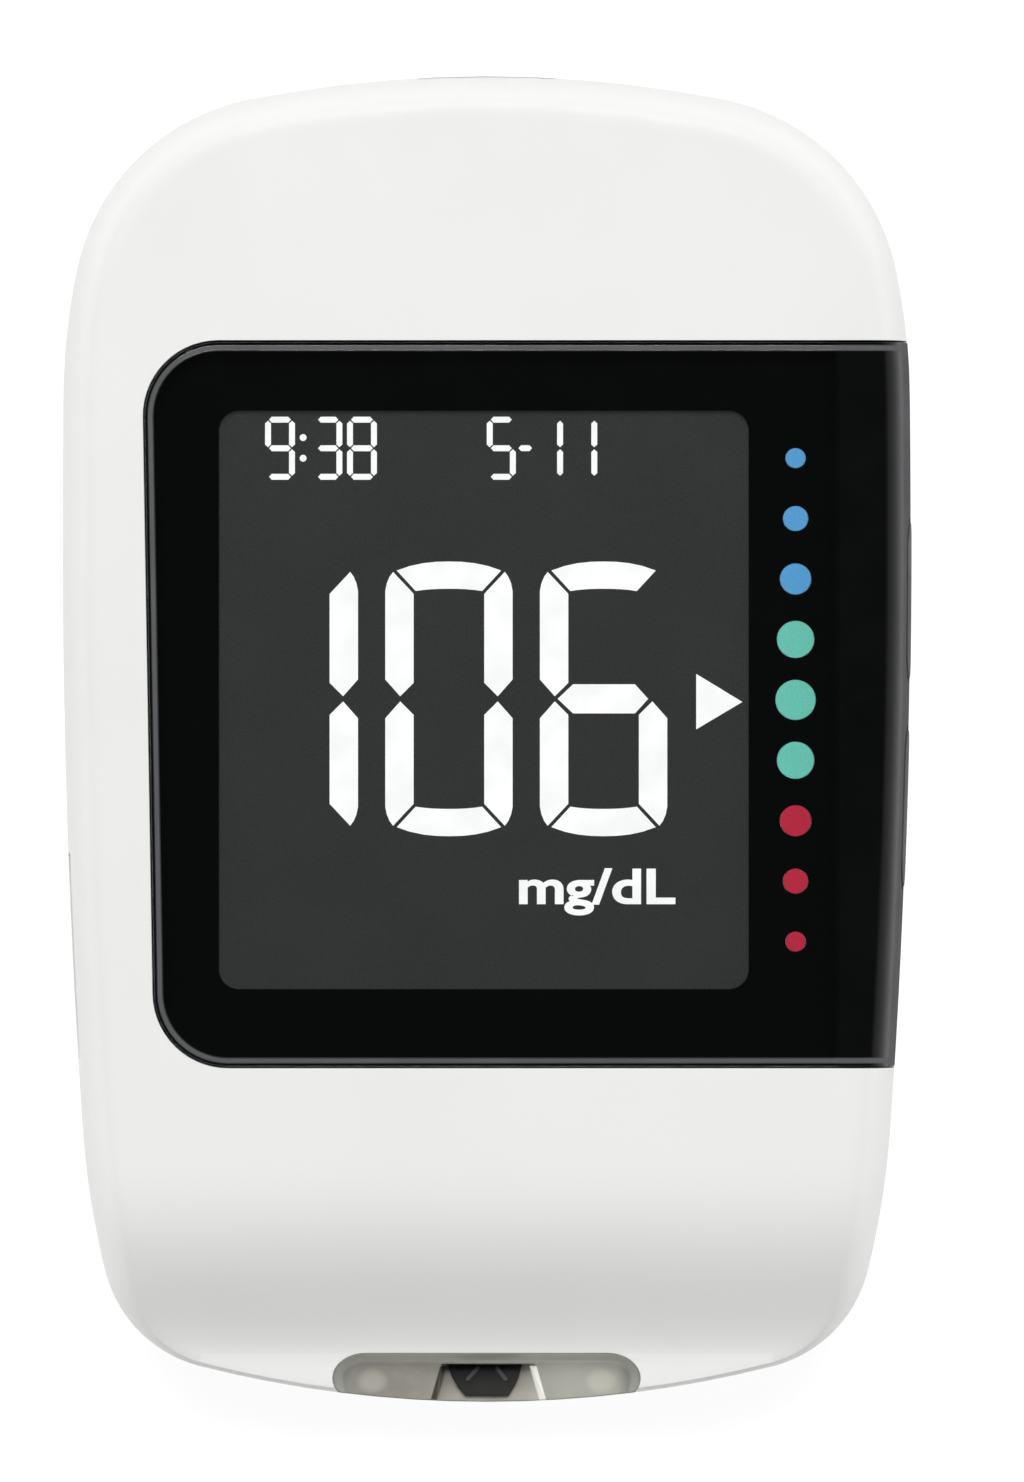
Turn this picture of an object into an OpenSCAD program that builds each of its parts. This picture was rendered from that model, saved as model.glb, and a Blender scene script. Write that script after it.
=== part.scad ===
// Blood glucose meter, lying on its back: X to the right, Y toward the USB end, Z out of the display.
// Millimetres. The back rests on Z = 0 and the middle of the outline is the origin.

/* [Housing] */
// Width of the housing at its widest line
body_w = 49; // [46:0.5:54]
// Length from the strip end to the USB end
body_l = 76.6; // [74:0.2:84]
// Thickness from the back to the top of the display window
body_t = 15.3; // [15:0.1:18]
// Height of the parting line between the two covers
part_z = 6.5; // [6.3:0.1:6.8]
// Thickness of the front cover's walls
front_wall = 2; // [1.8:0.1:2.2]
// Thickness of the rear cover's walls
rear_wall = 1.6; // [1.4:0.1:1.9]
// Place of the widest line, from the middle toward the USB end
widest_y = 11.5; // [8:0.5:14]
// Radius of the two corners at the USB end
top_corner_r = 12.7; // [11:0.1:14]
// Radius that blends those corners into the sides
top_blend_r = 36.5; // [30:0.5:42]
// Directions in which the arcs of the USB half meet, 0 at the end and 90 at the side
top_turns = [11.1, 78.1, 89.4]; // [5:0.1:89.5]
// Radius of the two corners at the strip end
nose_corner_r = 7.6; // [6.5:0.1:9]
// Radius that blends those corners into the sides
nose_blend_r = 48; // [40:0.5:56]
// Directions in which the arcs of the strip half meet
nose_turns = [14.2, 76.1, 86.1]; // [5:0.1:89]
// Width of the rounded edge round the front
front_round = 3.2; // [2.8:0.1:3.6]
// Width of the rounded lip at the strip end
nose_round = 1.8; // [1.6:0.1:2.2]
// Roundness of that lip
nose_power = 2.3; // [2.1:0.05:2.6]
// Roundness of the front edge, 2 for an ellipse and more for a squarer edge
front_power = 2.6; // [2:0.1:3.2]
// Width of the rounded edge round the back
back_round = 5.5; // [4.5:0.1:6]
// Roundness of the back edge
back_power = 2.3; // [2:0.1:3]
// Distance from the strip end to where the front face starts to sweep down
nose_start = 14.5; // [13.8:0.1:15.2]
// Length of the sweep from the face to the lip
nose_run = 12.2; // [11.8:0.1:12.8]
// Height of the face over the lip
nose_depth = 4; // [3.6:0.1:4.2]
// Skew of the sweep, 1 for even and more for steeper toward the lip
nose_skew = 1.6; // [1.4:0.05:1.8]
// Thickness of the ribs inside the rear cover
rib_t = 0.9; // [0.7:0.1:1.2]
// Height of the rear cover's rim inside the front cover
rim_h = 0.5; // [0.3:0.1:0.6]
// Thickness of that rim
rim_t = 0.8; // [0.6:0.1:0.9]

/* [Display window] */
// Distance of the window's upper edge from the USB end
window_top = 15.4; // [15:0.1:16.5]
// Distance of the window's lower edge from the strip end
window_low = 19.4; // [18:0.1:20.5]
// Distance of the window's left edge from the side, at its upper end
window_left = 4.7; // [4:0.1:5.5]
// Inward lean of the left edge, in millimetres over its length
window_lean = 0.7; // [0:0.1:1.2]
// Radius of the window's two left corners
window_corner_r = 4.3; // [3:0.1:5]
// Thickness of the window
window_t = 1.2; // [1:0.05:1.3]
// Height of the window over the housing round it
window_proud = 0.2; // [0.1:0.05:0.3]
// Thickness of the black print layer behind the window
mask_t = 0.15; // [0.1:0.05:0.2]
// Distance of the visible display area from the window's left edge
display_left = 4.4; // [4:0.1:5]
// Distance of the display area from the window's upper edge
display_top = 4; // [3.8:0.1:4.6]
// Distance of the display area from the window's lower edge
display_low = 4.5; // [4.2:0.1:5.5]
// Corner radius of the display area
display_r = 1.15; // [0.5:0.05:2]
// Distance of the range dots from the right side
dots_side = 6.7; // [6.4:0.1:6.9]
// Distance from the dots to the display area
dots_gap = 2.7; // [2.5:0.1:3.2]
// Distance from one dot to the next
dot_pitch = 3.48; // [3:0.01:3.6]
// Diameters of the dots, from the middle one outward
dot_d = [2.31, 2.14, 1.79, 1.44, 1.15]; // [0.8:0.01:2.6]

/* [Display] */
// Distance of the glasses' side edges beyond the visible area
glass_side = 1.2; // [1:0.05:1.3]
// Thickness of each glass
glass_t = 0.7; // [0.5:0.05:0.8]
// Distance of the glasses' lower edge below the visible area
glass_margin = 1.1; // [0.9:0.05:1.3]
// Length of the contact ledge at the upper edge of the front glass
ledge_l = 1.9; // [1.6:0.1:2]
// Thickness of the backlight plate
backlight_t = 1.2; // [0.8:0.1:1.4]
// Wall of the display holder
holder_wall = 0.75; // [0.6:0.05:0.8]
// Thickness of the shelf that carries the backlight
shelf_t = 0.8; // [0.6:0.1:1]
// Width of the rubber contact strip
zebra_w = 1.2; // [1:0.1:1.3]

/* [Circuit board] */
// Height of the board's underside
board_z = 6.9; // [6.85:0.05:7]
// Thickness of the board
board_t = 0.8; // [0.6:0.05:1]
// Distance of the board's edge from the housing's outline
board_inset = 3.1; // [3.05:0.05:3.4]
// Diameter of the posts that carry the board
post_d = 2.4; // [2:0.1:3]

/* [Side buttons] */
// Length of a button
button_l = 9; // [7:0.1:9.6]
// Height of a button
button_h = 3.4; // [3:0.1:3.6]
// Height of the buttons' middle above the back
button_z = 9.9; // [9.8:0.1:10.1]
// Distance of the back button's middle from the window's upper edge
button_start = 14.9; // [10:0.1:16]
// Distance from the back button to the forward button
button_pitch = 12; // [11.5:0.1:14]
// Travel of a button
button_travel = 0.4; // [0.3:0.05:0.5]
// Length and height of a side switch
switch_size = [4.7, 3.5]; // [3:0.1:6]
// Depth of a side switch
switch_depth = 3; // [2.5:0.1:3.3]
// Diameter of a switch stem
stem_d = 1.3; // [1:0.1:1.6]

/* [Strip port] */
// Width of the port in the nose
port_w = 17.7; // [16:0.1:19]
// Height of the port, measured along the slope
port_h = 4.3; // [4.1:0.1:4.6]
// Corner radius of the port
port_r = 2; // [1.8:0.05:2]
// Distance of the port's middle from the strip end
port_setback = 0.55; // [0.45:0.05:0.8]
// Depth of the port guide behind the nose
port_depth = 3.8; // [3.4:0.1:4]
// Distance of the funnel's inner end from the strip end
funnel_l = 2.2; // [1.9:0.1:2.4]
// Tilt of the port's face from the front face
port_tilt = 54; // [50:1:58]
// Width of the strip slot
slot_w = 5; // [4.8:0.1:5.4]
// Height of the strip slot
slot_h = 0.9; // [0.7:0.05:1]
// Height of the slot's floor above the back
slot_z = 8.35; // [8.3:0.05:8.6]
// Width of the funnel at its mouth
funnel_w = 6.7; // [6:0.1:7.2]
// Width of the connector block
connector_w = 8.4; // [8:0.1:9.6]
// Height of the connector block
connector_h = 2.7; // [2.5:0.1:2.8]
// Length of the connector block
connector_l = 8; // [7.5:0.1:8.5]
// Distance of the connector's mouth behind the strip end
connector_setback = 5.9; // [5.8:0.1:6.3]
// Number of contact blades
blade_count = 5; // [3:1:5]
// Distance between contact blades
blade_pitch = 0.8; // [0.75:0.05:0.85]
// Width of a contact blade
blade_w = 0.35; // [0.25:0.05:0.4]

/* [Ejector] */
// Travel of the ejector
ejector_travel = 4; // [3:0.1:4.2]
// Length of the thumb pad
pad_l = 7.5; // [6:0.1:8]
// Height of the thumb pad
pad_h = 3.4; // [3:0.1:3.8]
// Distance of the thumb pad's middle from the crossbar
pad_reach = 8.2; // [7.5:0.1:9.5]
// Depth of the recess in which the pad slides
pad_recess = 1.1; // [1:0.05:1.2]
// Length of the ejector's crossbar along the housing
bar_l = 2; // [1.6:0.1:2.2]
// Thickness of the ejector's plates
ejector_t = 1.2; // [1:0.05:1.3]
// Diameter of the return spring
spring_d = 2; // [1.6:0.1:2.2]
// Diameter of the spring wire
spring_wire = 0.25; // [0.2:0.01:0.3]
// Number of turns of the spring
spring_turns = 5; // [4:1:7]

/* [Batteries] */
// Diameter of a coin cell
cell_d = 20; // [19.5:0.1:20]
// Thickness of a coin cell
cell_h = 3.2; // [3:0.05:3.2]
// Gap between the two cells
cell_gap = 1; // [0.8:0.1:1.4]
// Place of the gap's middle along the housing
cells_mid_y = 9; // [8:0.1:9.5]
// Distance from a cell's middle to the tail of its contact spring
contact_reach = 6.1; // [5.6:0.1:6.6]
// Thickness of the battery door
door_t = 1.4; // [1.2:0.05:1.4]
// Width of the battery door
door_w = 22.4; // [22:0.1:24]
// Margin of the door beyond the cells at each end
door_margin = 2.4; // [2:0.1:2.8]
// Wall round the battery pockets
pocket_wall = 1.1; // [0.9:0.1:1.3]
// Thickness of the ceiling over the pockets
ceiling_t = 0.9; // [0.7:0.05:1]
// Diameter of the pads on the door that hold the cells
pad_d = 7; // [5:0.5:9]
// Width of the door's hooks
hook_w = 3.4; // [2.5:0.1:4]
// Thickness of the contact sheet
sheet_t = 0.2; // [0.15:0.05:0.25]
// Largest opening angle of the battery door
door_angle = 70; // [45:1:75]

/* [USB socket] */
// Width of the socket's metal shell
usb_w = 7.5; // [7:0.1:8]
// Height of the shell
usb_h = 2.5; // [2.3:0.05:2.8]
// Depth of the shell
usb_depth = 5; // [4.5:0.1:5.5]
// Thickness of the shell's sheet
usb_sheet = 0.3; // [0.2:0.05:0.35]
// Distance of the socket's mouth behind the outside of the housing
usb_setback = 0.45; // [0.3:0.05:0.8]

/* [Screws] */
// Distances of the screws at the USB end from the side and from that end
top_screws = [6.1, 10.8]; // [5.8:0.1:12]
// Distances of the screws at the strip end from the side and from that end
nose_screws = [7.4, 10.1]; // [7:0.1:11]
// Diameter of a screw head
screw_head_d = 3.4; // [3:0.1:3.6]
// Height of a screw head
screw_head_h = 1.1; // [0.9:0.1:1.3]
// Diameter of a screw shank
screw_d = 1.7; // [1.4:0.1:2]
// Length of a screw shank
screw_l = 7; // [6:0.1:8]
// Depth of the screw heads below the back
screw_sink = 1.4; // [0.8:0.1:1.6]
// Diameter of the screw bosses
boss_d = 4.8; // [4.4:0.1:5]

/* [Fits] */
// Clearance between parts that slide
slide_gap = 0.15; // [0.1:0.01:0.2]
// Clearance between fixed parts
fit_gap = 0.05; // [0.03:0.01:0.1]
// Clearance round loose inner parts
loose_gap = 0.3; // [0.2:0.05:0.4]

/* [Hidden] */
$fn = 48;
eps = 0.01;

// Heights that follow from the sizes above
face_z = body_t - window_proud;
seat_depth = window_t - window_proud + mask_t;
window_under_z = body_t - window_t;
seat_z = window_under_z - mask_t;
board_top = board_z + board_t;
glass_top = seat_z - loose_gap;
rear_glass_top = glass_top - glass_t - fit_gap;
backlight_top = rear_glass_top - glass_t - fit_gap;
shelf_top = backlight_top - backlight_t;
half_w = body_w / 2;
end_y = body_l / 2;

// Places along and across that follow from the ends and the sides
nose_start_y = nose_start - end_y;
port_y = port_setback - end_y;
window_top_y = end_y - window_top;
window_bottom_y = window_low - end_y;
window_left_x = window_left - half_w;
dot_x = half_w - dots_side;
display_low_corner = [window_left_x + display_left, window_bottom_y + display_low];
display_high_corner = [dot_x - dots_gap, window_top_y - display_top];
display_size = display_high_corner - display_low_corner;
display_mid = (display_high_corner + display_low_corner) / 2;
button_ys = [window_top_y - button_start, window_top_y - button_start - button_pitch];
cell_ys = [cells_mid_y + (cell_d + cell_gap) / 2, cells_mid_y - (cell_d + cell_gap) / 2];

// ---- Plan outline: each half is a chain of four tangent arcs from its end to the side ----

// Arc steps per quarter, from the end to the side
top_steps = [3, 9, 3, 6];
nose_steps = [3, 8, 4, 6];

// Radii of the four arcs; the first and the last follow from the half width a and the length l
function chain_radii(a, l, corner_r, blend_r, T) =
    let (
        s = [for (k = [0:3]) sin(T[k + 1]) - sin(T[k])],
        c = [for (k = [0:3]) cos(T[k]) - cos(T[k + 1])],
        across = a - corner_r * s[1] - blend_r * s[2],
        along = l - corner_r * c[1] - blend_r * c[2],
        det = s[0] * c[3] - s[3] * c[0]
    )
    [(across * c[3] - along * s[3]) / det, corner_r, blend_r, (s[0] * along - c[0] * across) / det];

top_T = [0, top_turns[0], top_turns[1], top_turns[2], 90];
nose_T = [0, nose_turns[0], nose_turns[1], nose_turns[2], 90];
top_R = chain_radii(half_w, end_y - widest_y, top_corner_r, top_blend_r, top_T);
nose_R = chain_radii(half_w, end_y + widest_y, nose_corner_r, nose_blend_r, nose_T);

// Sum of the chain's steps up to direction t, with f the sine or the cosine
function reach_x(R, T, t, k = 0) = k > 3 || t <= T[k] ? 0 :
    R[k] * (sin(min(t, T[k + 1])) - sin(T[k])) + reach_x(R, T, t, k + 1);
function reach_y(R, T, t, k = 0) = k > 3 || t <= T[k] ? 0 :
    R[k] * (cos(T[k]) - cos(min(t, T[k + 1]))) + reach_y(R, T, t, k + 1);

// Point of the outline: side 1 right or -1 left, half 1 USB end or -1 strip end, direction t
function plan_point(side, half, t) = half > 0
    ? [side * reach_x(top_R, top_T, t), end_y - reach_y(top_R, top_T, t)]
    : [side * reach_x(nose_R, nose_T, t), -end_y + reach_y(nose_R, nose_T, t)];

// Directions of one quarter, 0 first and 90 left out
function quarter(T, steps) =
    [for (k = [0:3]) for (i = [0:steps[k] - 1]) T[k] + (T[k + 1] - T[k]) * i / steps[k]];
top_q = quarter(top_T, top_steps);
nose_q = quarter(nose_T, nose_steps);
nt = len(top_q);
nn = len(nose_q);

// The whole outline, counterclockwise from the right side, as [side, half, direction]
WALK = concat(
    [[1, 1, 90]], [for (i = [nt - 1:-1:0]) [1, 1, top_q[i]]],
    [for (i = [1:nt - 1]) [-1, 1, top_q[i]]], [[-1, 1, 90]],
    [for (i = [nn - 1:-1:0]) [-1, -1, nose_q[i]]], [for (i = [1:nn - 1]) [1, -1, nose_q[i]]]
);
N = len(WALK);
function walk_normal(w) = [w[0] * sin(w[2]), w[1] * cos(w[2])];
function inset_point(w, d) = plan_point(w[0], w[1], w[2]) - d * walk_normal(w);
function outline(d) = [for (w = WALK) inset_point(w, d)];

// Half width of the outline at height y
SIDE = concat(
    [for (i = [0:nn - 1]) let (p = plan_point(1, -1, nose_q[i])) [p[1], p[0]]], [[widest_y, half_w]],
    [for (i = [nt - 1:-1:0]) let (p = plan_point(1, 1, top_q[i])) [p[1], p[0]]]
);
function half_at(y) = lookup(y, SIDE);

// ---- Moulded skins: the outline lofted over a rounded edge ----

// Height of the front face along the housing
function face_at(y) =
    let (u = min(max((nose_start_y - y) / nose_run, 0), 1))
    face_z - nose_depth * (1 - cos(180 * pow(u, nose_skew))) / 2;

// A value of the front edge that changes from the sides to the strip end
function toward_nose(w, side, nose) = w[1] > 0 ? side : nose + (side - nose) * pow(sin(w[2]), 2);

// Solid from a flat foot to a crown, d inside the outline; edge, power and crown are functions
module dome(d, foot, steps, edge, power, crown) {
    ring = function (j) [for (w = WALK) let (
            across = 1 - pow(cos(90 * j / steps), 2 / power(w)),
            up = pow(sin(90 * j / steps), 2 / power(w)),
            p = inset_point(w, d + max(edge(w) - d, 0.8) * across)
        ) [p[0], p[1], foot + (crown(p[1]) - foot) * up]];
    top = steps * N;
    polyhedron(
        points = [for (j = [0:steps]) each ring(j)],
        faces = concat(
            [[for (i = [0:N - 1]) i]],
            [for (j = [0:steps - 1]) for (i = [0:N - 1]) let (a = j * N + i, b = j * N + (i + 1) % N)
                each [[a, a + N, b + N], [a, b + N, b]]],
            [for (i = [0:nt - 1]) let (l = top + 2 * nt - i) i == nt - 1
                ? [top + i, l, l - 1] : [top + i, l, l - 1, top + i + 1]],
            [for (i = [0:nn - 1]) let (l = top + 2 * nt + i, r = i == 0 ? top : top + N - i) i == nn - 1
                ? [l + 1, l, r] : [top + N - i - 1, l + 1, l, r]]
        ),
        convexity = 4
    );
}

// Surface of the front cover, d below its outside
module front_skin(d, foot = part_z, steps = 6) {
    dome(d, foot, steps, function (w) toward_nose(w, front_round, nose_round),
        function (w) toward_nose(w, front_power, nose_power), function (y) face_at(y) - d);
}

// Surface of the rear cover, d below its outside
module rear_skin(d, top = part_z, steps = 6) {
    translate([0, 0, top]) mirror([0, 0, 1])
        dome(d, 0, steps, function (w) back_round, function (w) back_power, function (y) top - d);
}

// ---- Shared shapes ----

module round_rect(w, h, r) {
    square([w - 2 * r, h], center = true);
    square([w, h - 2 * r], center = true);
    for (sx = [-1, 1], sy = [-1, 1]) translate([sx * (w / 2 - r), sy * (h / 2 - r)]) circle(r);
}

module block(from, to) {
    translate(from) cube(to - from);
}

// Plan of the window, g inside its edge, open toward the right side
module window_plan(g = 0) {
    lean = window_lean / (window_top_y - window_bottom_y);
    turn = atan(lean);
    r = window_corner_r;
    edge_x = function (y) window_left_x + lean * (window_top_y - y);
    corner = function (y, from, to) let (c = [edge_x(y) + r / cos(turn), y])
        [for (a = [0:8]) c + (r - g) * [cos(from + (to - from) * a / 8), sin(from + (to - from) * a / 8)]];
    polygon(concat(
        [[half_w + 3, window_top_y - g]],
        corner(window_top_y - r, 90, 180 + turn),
        corner(window_bottom_y + r, 180 + turn, 270),
        [[half_w + 3, window_bottom_y + g]]
    ));
}

// Column over the window's plan, from the parting line up
module window_column(g = 0, foot = 0) {
    translate([0, 0, part_z + foot]) linear_extrude(body_t) window_plan(g);
}

module display_area(g, from, to) {
    translate([display_mid[0], display_mid[1], from]) linear_extrude(to - from)
        round_rect(display_size[0] + 2 * g, display_size[1] + 2 * g, display_r + g);
}

// Edges of the display's glasses, and a block over them, grown by g
glass_x0 = display_low_corner[0] - glass_side;
glass_x1 = display_high_corner[0] + glass_side;
glass_low = display_low_corner[1] - glass_margin;
rear_glass_high = display_high_corner[1] + 0.45;
glass_high = rear_glass_high + ledge_l;
module glass_block(g, from, to, high = glass_high) {
    block([glass_x0 - g, glass_low - g, from], [glass_x1 + g, high + g, to]);
}

// Stadium along the side wall at height button_z, from x0 outward
module button_column(y, grow, x0, x1) {
    r = button_h / 2 + grow;
    translate([x0, y, button_z]) rotate([90, 0, 90]) linear_extrude(x1 - x0) {
        square([button_l - button_h, 2 * r], center = true);
        for (s = [-1, 1]) translate([s * (button_l - button_h) / 2, 0]) circle(r);
    }
}

// Height of the rounded lip over the strip end at y
function lip_at(y) = let (u = min(max((nose_round - y - end_y) / nose_round, 0), 1))
    part_z + (face_at(y) - part_z) * pow(1 - pow(u, nose_power), 1 / nose_power);

// Frame of the strip port: Z out of the lip's slope
module on_port() {
    translate([0, port_y, lip_at(port_y)]) rotate([port_tilt, 0, 0]) children();
}

module port_column(grow, from, to) {
    on_port() translate([0, 0, from]) linear_extrude(to - from)
        round_rect(port_w + 2 * grow, port_h + 2 * grow, port_r + grow);
}

connector_front = connector_setback - end_y;
// Screws, two at each end: [x, y]
top_screw_y = end_y - top_screws[1];
nose_screw_y = nose_screws[1] - end_y;
nose_screw_x = half_at(nose_screw_y) - nose_screws[0];
screw_places = [for (s = [-1, 1]) each [
    [s * (half_at(top_screw_y) - top_screws[0]), top_screw_y], [s * nose_screw_x, nose_screw_y]]];
front_boss_foot = part_z + 0.1;

// ---- Battery compartment ----
pocket_r = cell_d / 2 + loose_gap;
cell_z = door_t + loose_gap;
pocket_top = cell_z + cell_h + 0.7;
ceiling_top = pocket_top + ceiling_t;
door_low = min(cell_ys) - cell_d / 2 - door_margin;
door_high = max(cell_ys) + cell_d / 2 + door_margin;
door_len = door_high - door_low;
door_mid = (door_high + door_low) / 2;
hinge_z = 0.25;
hinge_y = door_low + 0.35;
seat_flange = 1.3;
rib_z = part_z / 2;
rib_ys = [max(cell_ys), min(cell_ys)];

// ---- Ejector ----
bar_y = glass_low - holder_wall - loose_gap - slide_gap - bar_l;
pad_y = bar_y + pad_reach;
pad_floor = half_at(pad_y) - pad_recess;
pad_z = slot_z + slot_h / 2 + 0.25;
bar_z = board_top + 0.2;
neck_l = 3.6;
prong_w = 0.6;
prong_x = slot_w / 2 - prong_w - 0.1;
connector_back = connector_front + connector_l;
prong_tip = connector_back - 2.3;
spring_x = -nose_screw_x;
spring_end = nose_screw_y + boss_d / 2;

// ---- Housing ----

module front_cover() color("#f1f1ef") difference() {
    union() {
        difference() {
            front_skin(0);
            front_skin(front_wall, part_z - eps, 5);
        }
        for (p = screw_places) translate([p[0], p[1], front_boss_foot])
            cylinder(d = boss_d, h = face_at(p[1] - boss_d / 2) - front_wall / 2 - front_boss_foot);
    }
    difference() {
        window_column(0, -1);
        front_skin(seat_depth);
    }
    glass_block(loose_gap, face_z - front_wall - 1, body_t);
    for (p = screw_places) translate([p[0], p[1], part_z - eps])
        cylinder(d = screw_d - 0.2, h = screw_sink + screw_head_h + screw_l + 0.5 - part_z);
    for (y = button_ys) button_column(y, slide_gap, half_at(y) - front_wall - 1.5, half_w + 3);
    port_column(fit_gap, -port_depth - 0.2, 4);
    usb_column(0.25, end_y - front_wall - 2, end_y + 1);
    block([-half_w - 1, pad_y - pad_l / 2 - ejector_travel - slide_gap, pad_z - pad_h / 2 - slide_gap],
        [-pad_floor, pad_y + pad_l / 2 + slide_gap, pad_z + pad_h / 2 + slide_gap]);
    block([-half_w, pad_y - neck_l / 2 - ejector_travel - slide_gap, pad_z - ejector_t / 2 - slide_gap],
        [-pad_floor + front_wall, pad_y + neck_l / 2 + slide_gap, pad_z + ejector_t / 2 + slide_gap]);
}

module rear_cover() color("#ececea") difference() {
    union() {
        difference() {
            rear_skin(0);
            rear_skin(rear_wall, part_z + eps, 5);
        }
        // Rim that centres the front cover
        difference() {
            union() {
                translate([0, 0, part_z - 1.2]) linear_extrude(1.2) difference() {
                    polygon(outline(rear_wall - 0.4));
                    polygon(outline(front_wall + fit_gap + rim_t));
                }
                translate([0, 0, part_z - 0.6]) linear_extrude(0.6 + rim_h) difference() {
                    polygon(outline(front_wall + fit_gap));
                    polygon(outline(front_wall + fit_gap + rim_t));
                }
            }
            for (p = screw_places) translate([p[0], p[1], part_z])
                cylinder(d = boss_d + 2 * slide_gap, h = 2);
            block([-port_w / 2 - 0.4, -end_y, part_z], [port_w / 2 + 0.4, connector_front, part_z + 2]);
        }
        // Battery pockets
        translate([0, 0, door_t + 0.1]) linear_extrude(1.2) translate([0, door_mid])
            round_rect(door_w + 2 * seat_flange, door_len + 2 * seat_flange, 2.5);
        for (y = cell_ys) translate([0, y, door_t + 0.1])
            cylinder(r = pocket_r + pocket_wall, h = ceiling_top - door_t - 0.1);
        block([-6, min(cell_ys), door_t + 0.1], [6, max(cell_ys), ceiling_top]);
        // Posts under the board
        for (y = [door_high - 14, door_low + 9], s = [-1, 1])
            translate([s * (half_at(y) - board_inset - post_d), y, rear_wall - 0.4])
                cylinder(d = post_d, h = board_z - rear_wall + 0.4);
        for (p = screw_places) translate([p[0], p[1], rear_wall - 0.4])
            cylinder(d = boss_d, h = part_z - rear_wall + 0.4);
        // Ribs that tie the screw bosses and the pockets to the side walls
        for (p = screw_places) block(
            [min(p[0], sign(p[0]) * (half_at(p[1]) - rear_wall)), p[1] - rib_t / 2, rib_z],
            [max(p[0], sign(p[0]) * (half_at(p[1]) - rear_wall)), p[1] + rib_t / 2, part_z - 1.4]);
        for (y = rib_ys, s = [-1, 1]) block(
            [min(s * (pocket_r + 0.6), s * (half_at(y) - rear_wall)), y - rib_t / 2, rib_z],
            [max(s * (pocket_r + 0.6), s * (half_at(y) - rear_wall)), y + rib_t / 2, part_z - 1.4]);
    }
    // Opening for the door and seats for the cells
    translate([0, door_mid, -eps]) linear_extrude(door_t + 0.1 + 2 * eps)
        round_rect(door_w + 2 * slide_gap, door_len + 2 * slide_gap, 1.6);
    for (y = cell_ys) translate([0, y, 0]) cylinder(r = pocket_r, h = pocket_top);
    block([-6.5, min(cell_ys), 0], [6.5, max(cell_ys), pocket_top]);
    for (s = [-1, 1]) {
        block([s * 6 - hook_w / 2 - slide_gap, door_low - 2.2, rear_wall + 0.1],
            [s * 6 + hook_w / 2 + slide_gap, door_low + 3, ceiling_top]);
        block([s * 6 - hook_w / 2 - slide_gap, door_low, door_t],
            [s * 6 + hook_w / 2 + slide_gap, door_low + 3, ceiling_top]);
    }
    // Thumbnail notch at the door's latch
    translate([0, door_high + 1.2, -2.2]) sphere(r = 3.4);
    // Screw seats
    for (p = screw_places) translate([p[0], p[1], -eps]) {
        cylinder(d = screw_d + 2 * slide_gap, h = part_z + 1);
        cylinder(d = screw_head_d + 2 * slide_gap, h = screw_sink + screw_head_h + eps);
    }
    // Openings for the battery contacts
    for (y = cell_ys) {
        contact_slot(y);
        rim_contact_slot(y);
    }
}

module contact_slot(y) {
    block([-1.6 - slide_gap, y + contact_reach - 0.5, pocket_top - 0.2],
        [1.6 + slide_gap, y + contact_reach + 1.1, ceiling_top + eps]);
}

module rim_contact_slot(y) {
    block([-pocket_r - 0.65, y - 2.2 - slide_gap, cell_z],
        [-pocket_r + 2, y + 2.2 + slide_gap, ceiling_top + eps]);
}

// Battery door: plate with two hooks at its lower end and a latch tongue at its upper end
module battery_door() color("#e9e9e7") {
    difference() {
        translate([0, door_mid, 0]) linear_extrude(door_t) round_rect(door_w, door_len, 1.8);
        translate([0, door_high + 1.2, -2.2]) sphere(r = 3.4);
        for (s = [-1, 1]) block([s * 3.2 - 0.25, door_high - 5, -eps],
            [s * 3.2 + 0.25, door_high + 1, door_t + 1]);
        for (i = [0:3]) block([-4, door_high - 9.5 + i * 1.1, -eps], [4, door_high - 9 + i * 1.1, 0.25]);
    }
    // Pads that hold the cells
    for (y = cell_ys) translate([0, y, door_t - eps]) cylinder(d = pad_d, h = loose_gap - 0.1);
    for (s = [-1, 1]) translate([s * 6, 0, 0]) {
        block([-hook_w / 2, door_low + 0.35, door_t - eps], [hook_w / 2, door_low + 1.05, rear_wall + 1]);
        block([-hook_w / 2, door_low - 1.3, rear_wall + 0.25], [hook_w / 2, door_low + 1.05, rear_wall + 1]);
    }
}

// ---- Window ----

module display_window() color("#0a0c0b") intersection() {
    difference() {
        front_skin(-window_proud);
        front_skin(window_t - window_proud);
        for (y = button_ys) button_column(y, slide_gap, half_at(y) - front_wall - 1, half_w + 3);
    }
    window_column(fit_gap, fit_gap);
}

module window_mask() color("#050505") difference() {
    intersection() {
        difference() {
            front_skin(window_t - window_proud);
            front_skin(seat_depth);
        }
        window_column(2 * fit_gap, fit_gap);
    }
    display_area(0, seat_z - 1, body_t);
    for (i = [-4:4]) dot_hole(i, fit_gap / 2);
    for (y = button_ys) button_column(y, slide_gap, half_at(y) - front_wall - 1, half_w + 3);
}

module dot_hole(i, grow = 0) {
    translate([dot_x, display_mid[1] - i * dot_pitch, seat_z])
        cylinder(d = dot_d[abs(i)] + 2 * grow, h = mask_t);
}

module low_range_dots() color("#5f9fd7") for (i = [-4:-2]) dot_hole(i);
module target_range_dots() color("#6ec3af") for (i = [-1:1]) dot_hole(i);
module high_range_dots() color("#c82d4b") for (i = [2:4]) dot_hole(i);

// ---- Display ----

module lcd_front_glass() color("#363836") glass_block(0, glass_top - glass_t, glass_top);
module lcd_rear_glass() color("#404240")
    glass_block(0, rear_glass_top - glass_t, rear_glass_top, rear_glass_high);

module lcd_backlight() color("#e8eef0") glass_block(-0.2, shelf_top, backlight_top, rear_glass_high - 0.1);

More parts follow.
